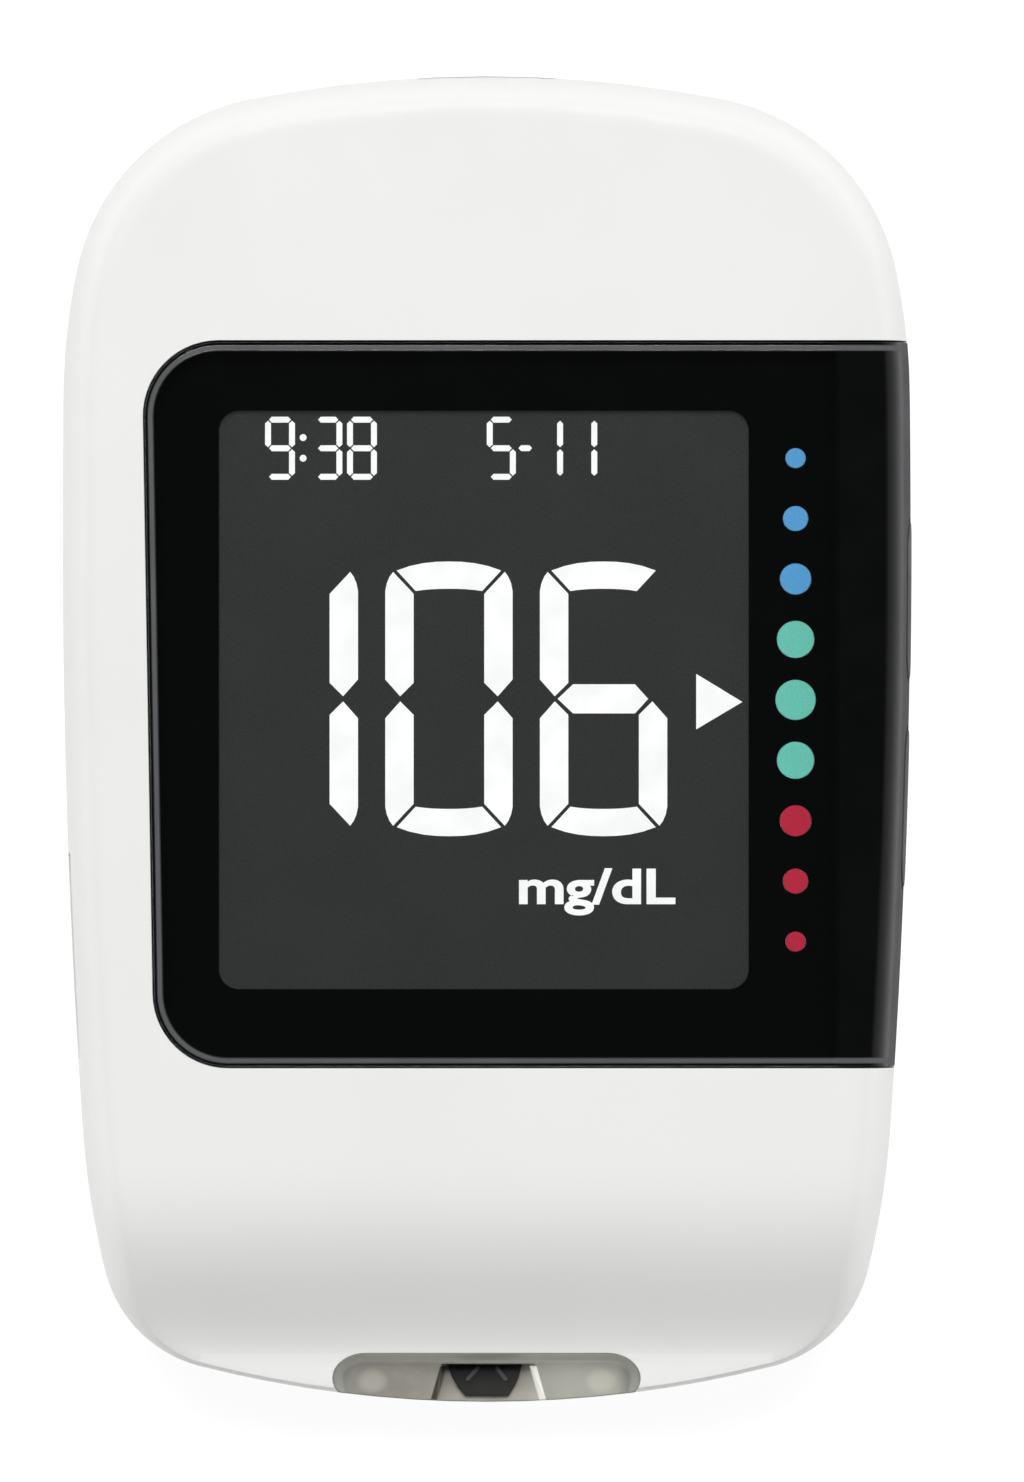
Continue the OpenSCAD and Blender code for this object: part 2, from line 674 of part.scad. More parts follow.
module lcd_holder() color("#f4f4f2") difference() {
    glass_block(fit_gap * 3 + holder_wall, board_top, glass_top - glass_t + 0.1);
    glass_block(fit_gap * 3, shelf_top, body_t);
    glass_block(-1.5, shelf_top - shelf_t - eps, body_t, rear_glass_high - 2);
    glass_block(fit_gap, board_top - eps, shelf_top - shelf_t);
    block([glass_x0 + 0.6, rear_glass_high + 0.2, board_top - eps],
        [glass_x1 - 0.6, glass_high + 0.1, body_t]);
}

module zebra_strip() color("#4a4a4d")
    block([glass_x0 + 1, glass_high - 0.15 - zebra_w, board_top],
        [glass_x1 - 1, glass_high - 0.15, glass_top - glass_t]);

// ---- Board ----

module main_board() color("#2f6b45") difference() {
    translate([0, 0, board_z]) linear_extrude(board_t) difference() {
        polygon(outline(board_inset));
        for (p = screw_places) translate(p) circle(d = boss_d + 2 * loose_gap);
        for (p = screw_places) translate([p[0] + sign(p[0]) * boss_d / 2, p[1]])
            square([boss_d, boss_d + 2 * loose_gap], center = true);
    }
    for (y = cell_ys, x = [-0.8, 0.8]) translate([x, y + contact_reach + 1, board_z - 1])
        cylinder(d = 0.5, h = 3);
    for (s = [-1, 1]) translate([s * (usb_w / 2 - 0.5), usb_front - usb_depth - 1, board_z - 1])
        cylinder(d = 0.7, h = 3);
}

// Chips on the board's top as [x, distance from the end, length, width, height]
USB_END_CHIPS = [[-10.5, 11.8, 7, 7, 0.9], [-1.5, 11.3, 5, 5, 0.85], [8.2, 11, 4.9, 3.9, 1.5]];
NOSE_END_CHIPS = [[12.2, 15.1, 4, 4, 0.8], [-9.5, 8.8, 3.2, 1.5, 0.8], [9.8, 8.5, 2, 1.2, 0.6]];

module chip(x, y, size) {
    translate([x, y, board_top + size[2] / 2]) cube(size, center = true);
}

module board_chips() color("#26282a") {
    for (c = USB_END_CHIPS) chip(c[0], end_y - c[1], [c[2], c[3], c[4]]);
    for (c = NOSE_END_CHIPS) chip(c[0], c[1] - end_y, [c[2], c[3], c[4]]);
    for (i = [0:4]) chip(-15 + i * 1.9, end_y - 6.8, [1, 0.5, 0.5]);
    for (i = [0:3]) chip(7 + i * 1.8, 19.2 - end_y, [0.6, 0.5, 0.45]);
}

// ---- USB socket ----

usb_z = board_top;
usb_front = end_y - usb_setback;

// Cross-section of the socket, wide at the top, with its two lower corners cut
module usb_section(g) {
    w = usb_w / 2 + g;
    polygon([
        [-w, usb_h + g], [w, usb_h + g], [w, usb_h * 0.42],
        [w - usb_w * 0.14, -g], [-w + usb_w * 0.14, -g], [-w, usb_h * 0.42]
    ]);
}

module usb_column(g, from, to) {
    translate([0, to, usb_z]) rotate([90, 0, 0]) linear_extrude(to - from) usb_section(g);
}

module usb_socket() color("#b9bcbf") difference() {
    usb_column(0, usb_front - usb_depth, usb_front);
    usb_column(-usb_sheet, usb_front - usb_depth + usb_sheet, usb_front + 1);
}

module usb_tongue() color("#1b1c1e") {
    low = usb_front - usb_depth + usb_sheet;
    block([-1.75, low, usb_z + 1.35], [1.75, usb_front - 0.9, usb_z + 1.95]);
    usb_column(-usb_sheet, low, low + 1.1);
}

// ---- Strip port ----

// Channel for the strip: a funnel in the guide that narrows to the slot
module strip_channel() {
    floor_z = slot_z - 0.15;
    mid_y = funnel_l - end_y;
    roof_z = face_at(mid_y) - 0.1;
    hull() {
        block([-funnel_w / 2, -end_y - 0.6, floor_z - 0.3], [funnel_w / 2, -end_y - 0.5, roof_z]);
        block([-funnel_w / 2 + 0.6, mid_y, floor_z], [funnel_w / 2 - 0.6, mid_y + 0.05, roof_z]);
    }
    block([-slot_w / 2 - 0.1, mid_y - 0.5, slot_z - 0.1],
        [slot_w / 2 + 0.1, connector_front + 1, slot_z + slot_h + 0.1]);
}

module strip_port_guide() color("#b4b4a8", 0.9) difference() {
    intersection() {
        front_skin(0.06);
        port_column(0, -port_depth, 3);
    }
    strip_channel();
    // Finger scoops on both sides of the funnel
    on_port() for (s = [-1, 1]) {
        r = 3.4;
        lift = r - 0.55;
        translate([s * 4.9, 0, lift]) rotate([0, 90, 0]) cylinder(r = r, h = 2.4, center = true);
        for (x = [3.7, 6.1]) translate([s * x, 0, lift]) sphere(r = r);
    }
    block([-port_w / 2, connector_front, part_z - 1], [port_w / 2, connector_front + 5, slot_z + 6]);
    block([-port_w / 2, -end_y + board_inset - 0.2, part_z - 1],
        [port_w / 2, connector_front + eps, board_top + 0.1]);
}

module strip_connector() color("#e6e2d6") difference() {
    block([-connector_w / 2, connector_front + fit_gap, board_top],
        [connector_w / 2, connector_back, board_top + connector_h]);
    block([-slot_w / 2 - 0.1, connector_front - 1, slot_z],
        [slot_w / 2 + 0.1, connector_back + 1, slot_z + slot_h]);
    for (i = [0:blade_count - 1])
        block([blade_x(i) - blade_w / 2 - 0.1, connector_front + 1.4, slot_z + eps],
            [blade_x(i) + blade_w / 2 + 0.1, connector_back + 1, board_top + connector_h + 1]);
}

function blade_x(i) = (i - (blade_count - 1) / 2) * blade_pitch;

// Contact blades: foot on the board, up the back of the connector, forward and down to the strip
module strip_contacts() color("#d6b45a") {
    t = 0.2;
    y0 = connector_back;
    top = board_top + connector_h - 0.5;
    tip = slot_z + 0.45;
    tip_y = connector_front + 2.2;
    for (i = [0:blade_count - 1]) translate([blade_x(i) - blade_w / 2, 0, 0]) rotate([90, 0, 90])
        linear_extrude(blade_w) polygon([
            [y0 + 1.2, board_top], [y0 + 1.2, board_top + t], [y0 + 0.3 + t, board_top + t],
            [y0 + 0.3 + t, top + t], [tip_y + 1.7, top + t], [tip_y + 0.1, tip + t],
            [tip_y - 0.35, tip + 0.5], [tip_y - 0.5, tip + 0.4], [tip_y, tip],
            [tip_y + 1.6, top], [y0 + 0.3, top], [y0 + 0.3, board_top]
        ]);
}

// ---- Side buttons ----

// Innermost place of the outline beside the button at y
function side_x(y) = min(half_at(y - button_l / 2 - flange_grow), half_at(y + button_l / 2 + flange_grow));
function flange_x(y) = side_x(y) - front_wall - 0.4;
flange_grow = 0.35;
flange_t = 0.6;

module side_button(y) {
    flange = flange_x(y);
    intersection() {
        front_skin(-window_proud - 0.1);
        button_column(y, 0, flange - 0.2, half_w + 2);
    }
    button_column(y, flange_grow, flange - flange_t, flange);
}

module side_switch(y) {
    x = flange_x(y) - flange_t - button_travel - 0.1;
    difference() {
        block([x - switch_depth, y - switch_size[0] / 2, board_top],
            [x, y + switch_size[0] / 2, board_top + switch_size[1]]);
        translate([x + 0.1, y, button_z]) rotate([0, -90, 0]) cylinder(d = stem_d + 2 * fit_gap, h = 1.8);
    }
}

module switch_stem(y) {
    translate([flange_x(y) - flange_t - 1.5, y, button_z]) rotate([0, 90, 0]) cylinder(d = stem_d, h = 1.5);
}

module back_button() color("#17181a") side_button(button_ys[0]);
module forward_button() color("#17181a") side_button(button_ys[1]);
module back_switch() color("#9a9da1") side_switch(button_ys[0]);
module forward_switch() color("#9a9da1") side_switch(button_ys[1]);
module back_switch_stem() color("#303236") switch_stem(button_ys[0]);
module forward_switch_stem() color("#303236") switch_stem(button_ys[1]);

// ---- Cells and contacts ----

// Coin cell: a can with a rounded edge and a smaller cap on top
module coin_cell(y) {
    translate([0, y, cell_z]) rotate_extrude($fn = 96) polygon([
        [0, 0], [cell_d / 2 - 0.35, 0], [cell_d / 2, 0.35], [cell_d / 2, cell_h - 0.6],
        [cell_d / 2 - 0.5, cell_h - 0.25], [cell_d / 2 - 1.2, cell_h - 0.25],
        [cell_d / 2 - 1.4, cell_h], [0, cell_h]
    ]);
}

module upper_cell() color("#c9ccce") coin_cell(cell_ys[0]);
module lower_cell() color("#c9ccce") coin_cell(cell_ys[1]);

// Sheet springs that press on the caps of the cells and rise to the board
module negative_contacts() color("#cfc9b8") for (y = cell_ys) translate([-1.6, y, 0]) rotate([90, 0, 90])
    linear_extrude(3.2) polygon([
        [-2.2, cell_z + cell_h + 0.25], [-2, cell_z + cell_h + 0.45], [0, cell_z + cell_h + sheet_t],
        [contact_reach - 0.2, pocket_top - 0.05], [contact_reach + 0.2, pocket_top - 0.05 + sheet_t],
        [contact_reach + 0.2, board_z], [contact_reach + 0.2 + sheet_t, board_z],
        [contact_reach + 0.2 + sheet_t, pocket_top - 0.25],
        [contact_reach - 0.1, pocket_top - 0.05 - sheet_t],
        [0, cell_z + cell_h]
    ]);

// Blades that touch the rims of the cells and rise to the board
module positive_contacts() color("#cfc9b8") for (y = cell_ys)
    block([-cell_d / 2 - sheet_t - 0.02, y - 2, cell_z + 0.4], [-cell_d / 2 - 0.02, y + 2, board_z]);

// ---- Ejector ----

module ejector_slider() color("#dfe0de") {
    // Thumb pad with grip ribs in the recess of the side wall
    difference() {
        block([-half_at(pad_y - pad_l / 2 - ejector_travel) - 0.02, pad_y - pad_l / 2, pad_z - pad_h / 2],
            [-pad_floor - 0.05, pad_y + pad_l / 2, pad_z + pad_h / 2]);
        for (i = [-2:2]) block([-half_w - 1, pad_y + i * 1.3 - 0.2, pad_z - 2],
            [-pad_floor - 0.35, pad_y + i * 1.3 + 0.2, pad_z + 2]);
    }
    neck_x = -half_at(bar_y - ejector_travel) + front_wall + 0.2;
    block([-pad_floor - 0.1, pad_y - neck_l / 2, pad_z - ejector_t / 2],
        [neck_x + 0.3, pad_y + neck_l / 2, pad_z + ejector_t / 2]);
    // Inner plate, arm, crossbar and the two prongs behind the strip
    block([neck_x, pad_y - 3.4, bar_z], [neck_x + 1, pad_y + 3.4, bar_z + 2.2]);
    block([neck_x, bar_y, bar_z], [neck_x + 1, pad_y, bar_z + ejector_t]);
    block([neck_x, bar_y, bar_z], [prong_x + prong_w, bar_y + bar_l, bar_z + ejector_t]);
    for (s = [-1, 1]) block([s * (prong_x + prong_w / 2) - prong_w / 2, prong_tip, slot_z + 0.1],
        [s * (prong_x + prong_w / 2) + prong_w / 2, bar_y + eps, slot_z + slot_h - 0.15]);
}

// Return spring between the crossbar and the screw boss beside the port
module ejector_spring() color("#aeb1b4") {
    sides = 5;
    steps = 12;
    count = spring_turns * steps;
    length = bar_y - spring_end - spring_wire - 2 * fit_gap;
    r = (spring_d - spring_wire) / 2;
    at = function (i) [cos(i * 360 / steps) * r, i / count * length, sin(i * 360 / steps) * r];
    loop = function (i, k) let (a = i * 360 / steps, b = k * 360 / sides, q = spring_wire / 2)
        at(i) + q * [cos(a) * cos(b), sin(b), sin(a) * cos(b)];
    translate([spring_x, spring_end + spring_wire / 2 + fit_gap, board_top + spring_d / 2 + 0.15])
    polyhedron(
        points = [for (i = [0:count]) for (k = [0:sides - 1]) loop(i, k)],
        faces = concat(
            [[for (k = [sides - 1:-1:0]) k]],
            [[for (k = [0:sides - 1]) count * sides + k]],
            [for (i = [0:count - 1]) for (k = [0:sides - 1])
                let (a = i * sides + k, b = i * sides + (k + 1) % sides)
                each [[a, b, b + sides], [a, b + sides, a + sides]]]
        )
    );
}

// ---- Fasteners ----

module case_screws() color("#8d9196") for (p = screw_places)
    translate([p[0], p[1], screw_sink]) difference() {
    union() {
        cylinder(d = screw_head_d, h = screw_head_h);
        cylinder(d = screw_d - 0.25, h = screw_head_h + screw_l);
    }
    for (a = [0, 90]) rotate(a) translate([0, 0, 0.2]) cube([1.9, 0.4, 0.8], center = true);
}

front_cover();
rear_cover();
battery_door();
display_window();
window_mask();
low_range_dots();
target_range_dots();
high_range_dots();
lcd_front_glass();
lcd_rear_glass();
lcd_backlight();
lcd_holder();
zebra_strip();
main_board();
board_chips();
usb_socket();
usb_tongue();
strip_port_guide();
strip_connector();
strip_contacts();
back_button();
forward_button();
back_switch();
forward_switch();
back_switch_stem();
forward_switch_stem();
upper_cell();
lower_cell();
negative_contacts();
positive_contacts();
ejector_slider();
ejector_spring();
case_screws();
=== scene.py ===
import math

import bmesh
import bpy
from mathutils import Matrix, Vector


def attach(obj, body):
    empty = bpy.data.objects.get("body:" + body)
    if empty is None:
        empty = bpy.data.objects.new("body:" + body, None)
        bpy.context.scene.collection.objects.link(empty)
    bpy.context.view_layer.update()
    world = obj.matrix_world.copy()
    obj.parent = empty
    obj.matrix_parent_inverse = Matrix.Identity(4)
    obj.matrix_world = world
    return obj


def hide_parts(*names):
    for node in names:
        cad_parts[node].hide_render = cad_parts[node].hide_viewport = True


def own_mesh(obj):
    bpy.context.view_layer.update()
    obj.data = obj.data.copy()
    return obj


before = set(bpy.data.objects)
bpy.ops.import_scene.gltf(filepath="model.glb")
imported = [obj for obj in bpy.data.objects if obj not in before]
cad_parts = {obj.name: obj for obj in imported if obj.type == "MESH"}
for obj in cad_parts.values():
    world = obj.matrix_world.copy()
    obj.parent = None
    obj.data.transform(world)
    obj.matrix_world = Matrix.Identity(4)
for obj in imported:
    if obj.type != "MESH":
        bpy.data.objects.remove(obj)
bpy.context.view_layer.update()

# Blood glucose meter on its back: X to the right, Y toward the USB end, Z out of the display.
# Shapes are worked out in millimetres and scaled to metres when a piece is finished.
MM = 0.001

# ---- Sizes in millimetres ----
# Plan, heights and walls are those of the part's source. The dressing's own are the front's edge
# rounds (FRONT_ROUND, LIP_ROUND), the port's opening and basin, and how far the window and the keys
# stand proud at the side.
HALF_W, END_Y = 24.5, 38.3
WIDEST_Y = 11.5
PART_Z, FACE_Z = 6.5, 15.1
FRONT_WALL = 2.0
FRONT_ROUND, FRONT_POWER = 2.2, 2.6
NOSE_ROUND, NOSE_POWER = 1.8, 2.3
LIP_ROUND, LEAST_ROUND = 0.32, 0.8
BACK_ROUND, BACK_POWER = 5.5, 2.3
NOSE_START_Y, NOSE_RUN, NOSE_DEPTH, NOSE_SKEW = -23.8, 12.2, 4.0, 1.6
SEAM, SEAM_TURN, CROWN_INSET = 0.1, 0.12, 0.45
OVERLAP = 0.01

WINDOW_TOP, WINDOW_LOW, WINDOW_LEFT = 22.9, -18.9, -19.8
WINDOW_LEAN, WINDOW_R = 0.7, 4.3
WINDOW_PROUD, WINDOW_UNDER, WINDOW_SEAT = 0.2, 1.0, 1.15
SIDE_PROUD, SEAT_GAP, SEAT_FLARE, PRINT_GAP = 0.01, 0.05, 0.07, 0.03
WINDOW_GUARD, WINDOW_FOOT, BEYOND = 0.8, 0.05, 1.5
WINDOW_ROWS, WINDOW_RINGS, CORNER_STEPS = 26, 14, 14
WINDOW_BEVEL = ((WINDOW_UNDER, 0.05), (0.0, 0.05), (-0.06, 0.09), (-0.12, 0.17), (-0.15, 0.28),
                (-0.175, 0.4), (-0.19, 0.52), (-WINDOW_PROUD, 0.68))
ROLL_START = (19.9, 20.4)
# Heights on the roll below which matte grey is painted as its reflection, then the bevel rim's heights and
# the end bands' insets where it is painted as a highlight
PAINTED_SHEEN_FROM = (12.5, 13.7)
RIM_START, RIM_END = (15.225, 15.255), (15.284, 15.296)
END_START, END_STOP = (-0.60, -0.48), (-0.30, -0.18)
DISPLAY_MIN, DISPLAY_MAX, DISPLAY_R = (-15.4, -14.4), (15.1, 18.9), 1.15
GLASS_MIN, GLASS_MAX = (-16.6, -15.5), (16.3, 21.25)
GLASS_TOP, GLASS_ROOM, GLASS_ROOM_Z = 13.65, 0.3, (12, 16)
DOT_X, DOT_PITCH, DOT_GAP, INK_GAP = 17.8, 3.48, 0.02, 0.005
DOT_D = (2.31, 2.14, 1.79, 1.44, 1.15)

BUTTON_L, BUTTON_H, BUTTON_Z, BUTTON_YS = 9.0, 3.4, 9.9, (8.0, -4.0)
BUTTON_HOLE = (-5, -0.5, 0.5, 3)
KEY_PROUD, KEY_FLANGE_GAP, KEY_FLANGE_GROW, KEY_FLANGE_T = 0.07, 0.4, 0.35, 0.6
KEY_OVERLAP, KEY_EDGE = 0.2, 0.2
PORT_W, PORT_H, PORT_R, PORT_TILT, PORT_DEPTH = 17.7, 4.3, 2.0, 54, 3.8
PORT_Y = -37.75
OPENING_FLAT, OPENING_END, OPENING_MIDDLE = 6.96, (1.9, 1.44), -36.87
OPENING_SILL, OPENING_ROOT = 7.62, -1.6
OPENING_GAP, PORT_GAP, PORT_SPARE, GUIDE_SUNK = 0.03, 0.05, 0.2, 0.06
BOWL_FRONT, BOWL_Z, BOWL_SLOPE, BOWL_REACH = -38.25, 8.3, 0.62, 1.7
BOWL = ((0, -0.62), (0.05, -0.5), (0.25, -0.36), (0.6, -0.2), (1.0, -0.04), (7, 0.3))
FUNNEL_MOUTH, FUNNEL_THROAT = -END_Y - 0.6, -END_Y + 2.2
FUNNEL_HALF, FUNNEL_TOP_HALF, FUNNEL_FLOOR = (3.1, 2.4), (3.55, 2.72), (7.9, 8.15)
FUNNEL_ASIDE, FUNNEL_FLARE, FUNNEL_WALL = 0.1, 0.28, 2.56
FUNNEL_RISE = 1.2
CONNECTOR_FRONT = -32.4
STRIP_HALF, STRIP_Y, STRIP_Z = 2.6, -36.6, (8.25, 9.35)
GUIDE_HALF, GUIDE_UNDER_Y, GUIDE_UNDER_Z = 9, -END_Y + 2.9, 7.8
MOUTH_Z = (7.95, 8.3, 8.34)
MOUTH_PLAN = ((-1.22, -37.93), (1.26, -37.93), (1.6, -37.4), (1.86, -36.86), (2.05, -36.15),
              (-2.25, -36.15), (-1.96, -36.86), (-1.64, -37.45))
RIB_LINES = ((-1.2, -37.1), (-0.4, -36.2)), ((1.2, -37.1), (0.5, -36.2))
RIB_W, RIB_Z, RIB_H = 0.22, 8.33, 0.12
# Centre of the painted pools of light over the port basin's ends
PAINTED_LIGHT_PLACE = (6.6, -37.05)
PAD_Y, PAD_Z, PAD_L, PAD_H, PAD_FLOOR = -10.5, 9.05, 7.5, 3.4, 22.91
EJECTOR_TRAVEL, EJECTOR_T, NECK_L = 4.0, 1.2, 3.6
SPRING_WIRE, SPRING_R, SPRING_TURNS, SPRING_STEPS = 0.125, 0.875, 5, 28
SPRING_FOOT, SPRING_Z, SPRING_ROOM, SPRING_GAP = -25.8, 8.85, 7.1, 0.05
USB_W, USB_H, USB_Z, USB_CHAMFER = 7.5, 2.5, 7.7, (0.14, 0.42)
USB_GAP, USB_FLARE, USB_INNER_Y = 0.25, 0.3, 34
DOOR_MIN, DOOR_MAX, DOOR_W, DOOR_R = -13.9, 31.9, 22.4, 1.6
NOTCH_R, NOTCH_Y, NOTCH_Z = 3.4, 1.2, -2.2
SCREWS = ((17.21, 27.5), (15.19, -28.2))
SCREW_PLACES = [(side * x, y) for side in (-1, 1) for x, y in SCREWS]
SCREW_HEAD_D, SCREW_SINK, BOSS_D = 3.4, 1.4, 4.8
SCREW_HOLE_R, SCREW_HOLE_TOP = 0.75, 11
SKIN_JOIN, SKIN_T, AROUND = 0.7, 0.8, (30, 45, 3)
SLIDE_GAP = 0.15

# Tolerances of the mesh work
WELD, SHORT, SLIVER, LEAST_MITRE = 0.002, 0.001, 0.0002, 0.2

# Blunt end of a stroke, in widths: how far it stops short, its point, and its shoulder
STROKE_SHORT, STROKE_POINT, STROKE_SHOULDER = 0.62, 0.45, (0.55, 0.4)


# ---- Outline of the housing ----
class Quarter:
    """A quarter of the outline: four tangent arcs from the end (0 degrees) to the side (90)."""

    def __init__(self, half, turns, corner, blend, steps):
        self.half = half
        bounds = (0, *turns, 90)
        self.spans = [(math.radians(a), math.radians(b)) for a, b in zip(bounds, bounds[1:])]
        self.turns = [math.radians(a + (b - a) * i / n)
                      for a, b, n in zip(bounds, bounds[1:], steps) for i in range(n)]
        s = [math.sin(b) - math.sin(a) for a, b in self.spans]
        c = [math.cos(a) - math.cos(b) for a, b in self.spans]
        across = HALF_W - corner * s[1] - blend * s[2]
        along = END_Y - half * WIDEST_Y - corner * c[1] - blend * c[2]
        det = s[0] * c[3] - s[3] * c[0]
        self.radii = ((across * c[3] - along * s[3]) / det, corner, blend,
                      (s[0] * along - c[0] * across) / det)

    def point(self, turn, inset=0.0):
        x = sum(r * (math.sin(min(turn, b)) - math.sin(a))
                for r, (a, b) in zip(self.radii, self.spans) if turn > a)
        y = END_Y - sum(r * (math.cos(a) - math.cos(min(turn, b)))
                        for r, (a, b) in zip(self.radii, self.spans) if turn > a)
        return x - inset * math.sin(turn), self.half * (y - inset * math.cos(turn))


USB_END = Quarter(1, turns=(11.1, 78.1, 89.4), corner=12.7, blend=36.5, steps=(5, 30, 8, 8))
STRIP_END = Quarter(-1, turns=(14.2, 76.1, 86.1), corner=7.6, blend=48, steps=(8, 34, 16, 22))
SIDE_TURN = math.pi / 2

# The whole outline, counterclockwise from the right side, as (side, quarter, turn)
WALK = ([(1, USB_END, SIDE_TURN)] + [(1, USB_END, t) for t in reversed(USB_END.turns)]
        + [(-1, USB_END, t) for t in USB_END.turns[1:]] + [(-1, USB_END, SIDE_TURN)]
        + [(-1, STRIP_END, t) for t in reversed(STRIP_END.turns)]
        + [(1, STRIP_END, t) for t in STRIP_END.turns[1:]])


def outline_point(walk, inset):
    side, quarter, turn = walk
    x, y = quarter.point(turn, inset)
    return side * x, y


def side_x(y, inset=0.0):
    """Half width of the outline at y, inset from its edge."""
    quarter = USB_END if y > WIDEST_Y else STRIP_END
    low, high = math.radians(20), SIDE_TURN
    for _ in range(40):
        middle = (low + high) / 2
        if quarter.half * (quarter.point(middle, inset)[1] - y) > 0:
            low = middle
        else:
            high = middle
    return quarter.point(high, inset)[0]


def face_at(y):
    """Height of the front face, which sweeps down toward the strip end."""
    u = min(max((NOSE_START_Y - y) / NOSE_RUN, 0), 1)
    return FACE_Z - NOSE_DEPTH * (1 - math.cos(math.pi * u ** NOSE_SKEW)) / 2


def lip_at(y):
    """Height of the rounded lip over the strip end."""
    across = min(max((NOSE_ROUND - y - END_Y) / NOSE_ROUND, 0), 1)
    return PART_Z + (face_at(y) - PART_Z) * (1 - across ** NOSE_POWER) ** (1 / NOSE_POWER)


def toward_nose(walk, side, nose):
    """A value that is side along the sides and the USB end and nose at the strip end's middle."""
    return side if walk[1] is USB_END else nose + (side - nose) * math.sin(walk[2]) ** 4


# ---- Modelling helpers ----
def outward(bm):
    """Turns the faces to point out of the solid."""
    bmesh.ops.recalc_face_normals(bm, faces=bm.faces)
    return bm


def turned(bm, matrix):
    bmesh.ops.transform(bm, matrix=matrix, verts=bm.verts)
    return bm


def moved(bm, vec):
    bmesh.ops.translate(bm, vec=vec, verts=bm.verts)
    return bm


def of_kind(geometry, kind):
    return [part for part in geometry if isinstance(part, kind)]


def drawn_out(bm, edges):
    """Extrudes the edges and returns the new points and the new edges between them."""
    grown = bmesh.ops.extrude_edge_only(bm, edges=edges)["geom"]
    fresh = set(of_kind(grown, bmesh.types.BMVert))
    return fresh, [edge for edge in of_kind(grown, bmesh.types.BMEdge) if set(edge.verts) <= fresh]


def loft(bm, spot, edges, rows):
    """Extrudes the edges row by row; each row says where its points go."""
    for row in rows:
        fresh, edges = drawn_out(bm, edges)
        for vert in fresh:
            vert.co = row(vert[spot])
    return edges


def dome(depth, foot, steps, edge, power, crown, seam=0.0):
    """Closed solid of the outline lofted from its foot over a rounded edge to its crown."""
    bm = bmesh.new()
    spot = bm.verts.layers.int.new("spot")
    bmesh.ops.create_circle(bm, segments=len(WALK), radius=1)
    bm.verts.ensure_lookup_table()
    upward = 1 if crown(0) > foot else -1

    def ring(angle, extra=0.0):
        def row(index):
            walk = WALK[index]
            bend, width = 2 / power(walk), edge(walk)
            across, rise = 1 - math.cos(angle) ** bend, math.sin(angle) ** bend
            reach = max(width - depth, min(width, LEAST_ROUND)) * across
            x, y = outline_point(walk, depth + reach + extra)
            return Vector((x, y, foot + (crown(y) - foot) * rise))
        return row

    def level(inset, height):
        return lambda index: Vector((*outline_point(WALK[index], depth + inset), foot + upward * height))

    for index, vert in enumerate(bm.verts):
        vert[spot] = index
        vert.co = level(seam, 0)(index)
    start = list(bm.edges)
    rows = [level(0, seam)] if seam else []
    first = SEAM_TURN if seam else 0
    rows += [ring(first + (SIDE_TURN - first) * j / steps) for j in range(1, steps + 1)]
    top = loft(bm, spot, start, rows + [ring(SIDE_TURN, CROWN_INSET)])
    bmesh.ops.contextual_create(bm, geom=start)
    bmesh.ops.contextual_create(bm, geom=top)
    at = {vert[spot]: vert for rim in top for vert in rim.verts}
    pairs = {}
    for index, (_, quarter, turn) in enumerate(WALK):
        pairs.setdefault((quarter.half, turn), []).append(index)
    for pair in pairs.values():
        if len(pair) == 2:
            bmesh.ops.connect_verts(bm, verts=[at[index] for index in pair])
    return outward(bm)


def front_dome(depth, foot=PART_Z, steps=16, seam=0.0):
    return dome(depth, foot, steps, lambda w: toward_nose(w, FRONT_ROUND, LIP_ROUND),
                lambda w: toward_nose(w, FRONT_POWER, NOSE_POWER), lambda y: face_at(y) - depth, seam)


def rear_dome(depth, foot=PART_Z, steps=14, seam=0.0):
    return dome(depth, foot, steps, lambda w: BACK_ROUND, lambda w: BACK_POWER, lambda y: depth, seam)


def raised(bm, faces, first):
    """Extrudes the faces as one region; the faces between two steps are dropped."""
    grown = bmesh.ops.extrude_face_region(bm, geom=faces)["geom"]
    if not first:
        bmesh.ops.delete(bm, geom=faces, context="FACES")
    return of_kind(grown, bmesh.types.BMFace), of_kind(grown, bmesh.types.BMVert)


def block(low, high):
    bm = bmesh.new()
    bmesh.ops.create_cube(bm, size=1)
    size = Vector(high) - Vector(low)
    bmesh.ops.scale(bm, vec=size, verts=bm.verts)
    return moved(bm, Vector(low) + size / 2)


def plate(points, levels):
    """Closed solid of one plan outline at each level, as (height, growth of the plan)."""
    bm = bmesh.new()
    verts = [bm.verts.new((x, y, 0)) for x, y in points]
    bmesh.ops.contextual_create(bm, geom=verts)
    count = len(points)
    middle = sum((Vector(p) for p in points), Vector((0, 0))) / count
    out = []
    for i in range(count):
        a, b, c = (Vector(points[(i + k) % count]) for k in (-1, 0, 1))
        one, two = (b - a).normalized(), (c - b).normalized()
        normal = Vector((one.y + two.y, -one.x - two.x))
        normal /= max(normal.dot(Vector((one.y, -one.x))), LEAST_MITRE)
        out.append(normal if normal.dot(b - middle) > 0 else -normal)
    spot = bm.verts.layers.int.new("spot")
    for index, vert in enumerate(verts := list(bm.verts)):
        vert[spot] = index

    def put(parts, height, growth):
        for vert in parts:
            x, y = Vector(points[vert[spot]]) + out[vert[spot]] * growth
            vert.co = (x, y, height)

    put(verts, *levels[0])
    faces = list(bm.faces)
    for step, (height, growth) in enumerate(levels[1:]):
        faces, fresh = raised(bm, faces, step == 0)
        put(fresh, height, growth)
    return outward(bm)


def arc(centre, radius, start, stop, steps):
    return [(centre[0] + radius * math.cos(math.radians(start + (stop - start) * i / steps)),
             centre[1] + radius * math.sin(math.radians(start + (stop - start) * i / steps)))
            for i in range(steps + 1)]


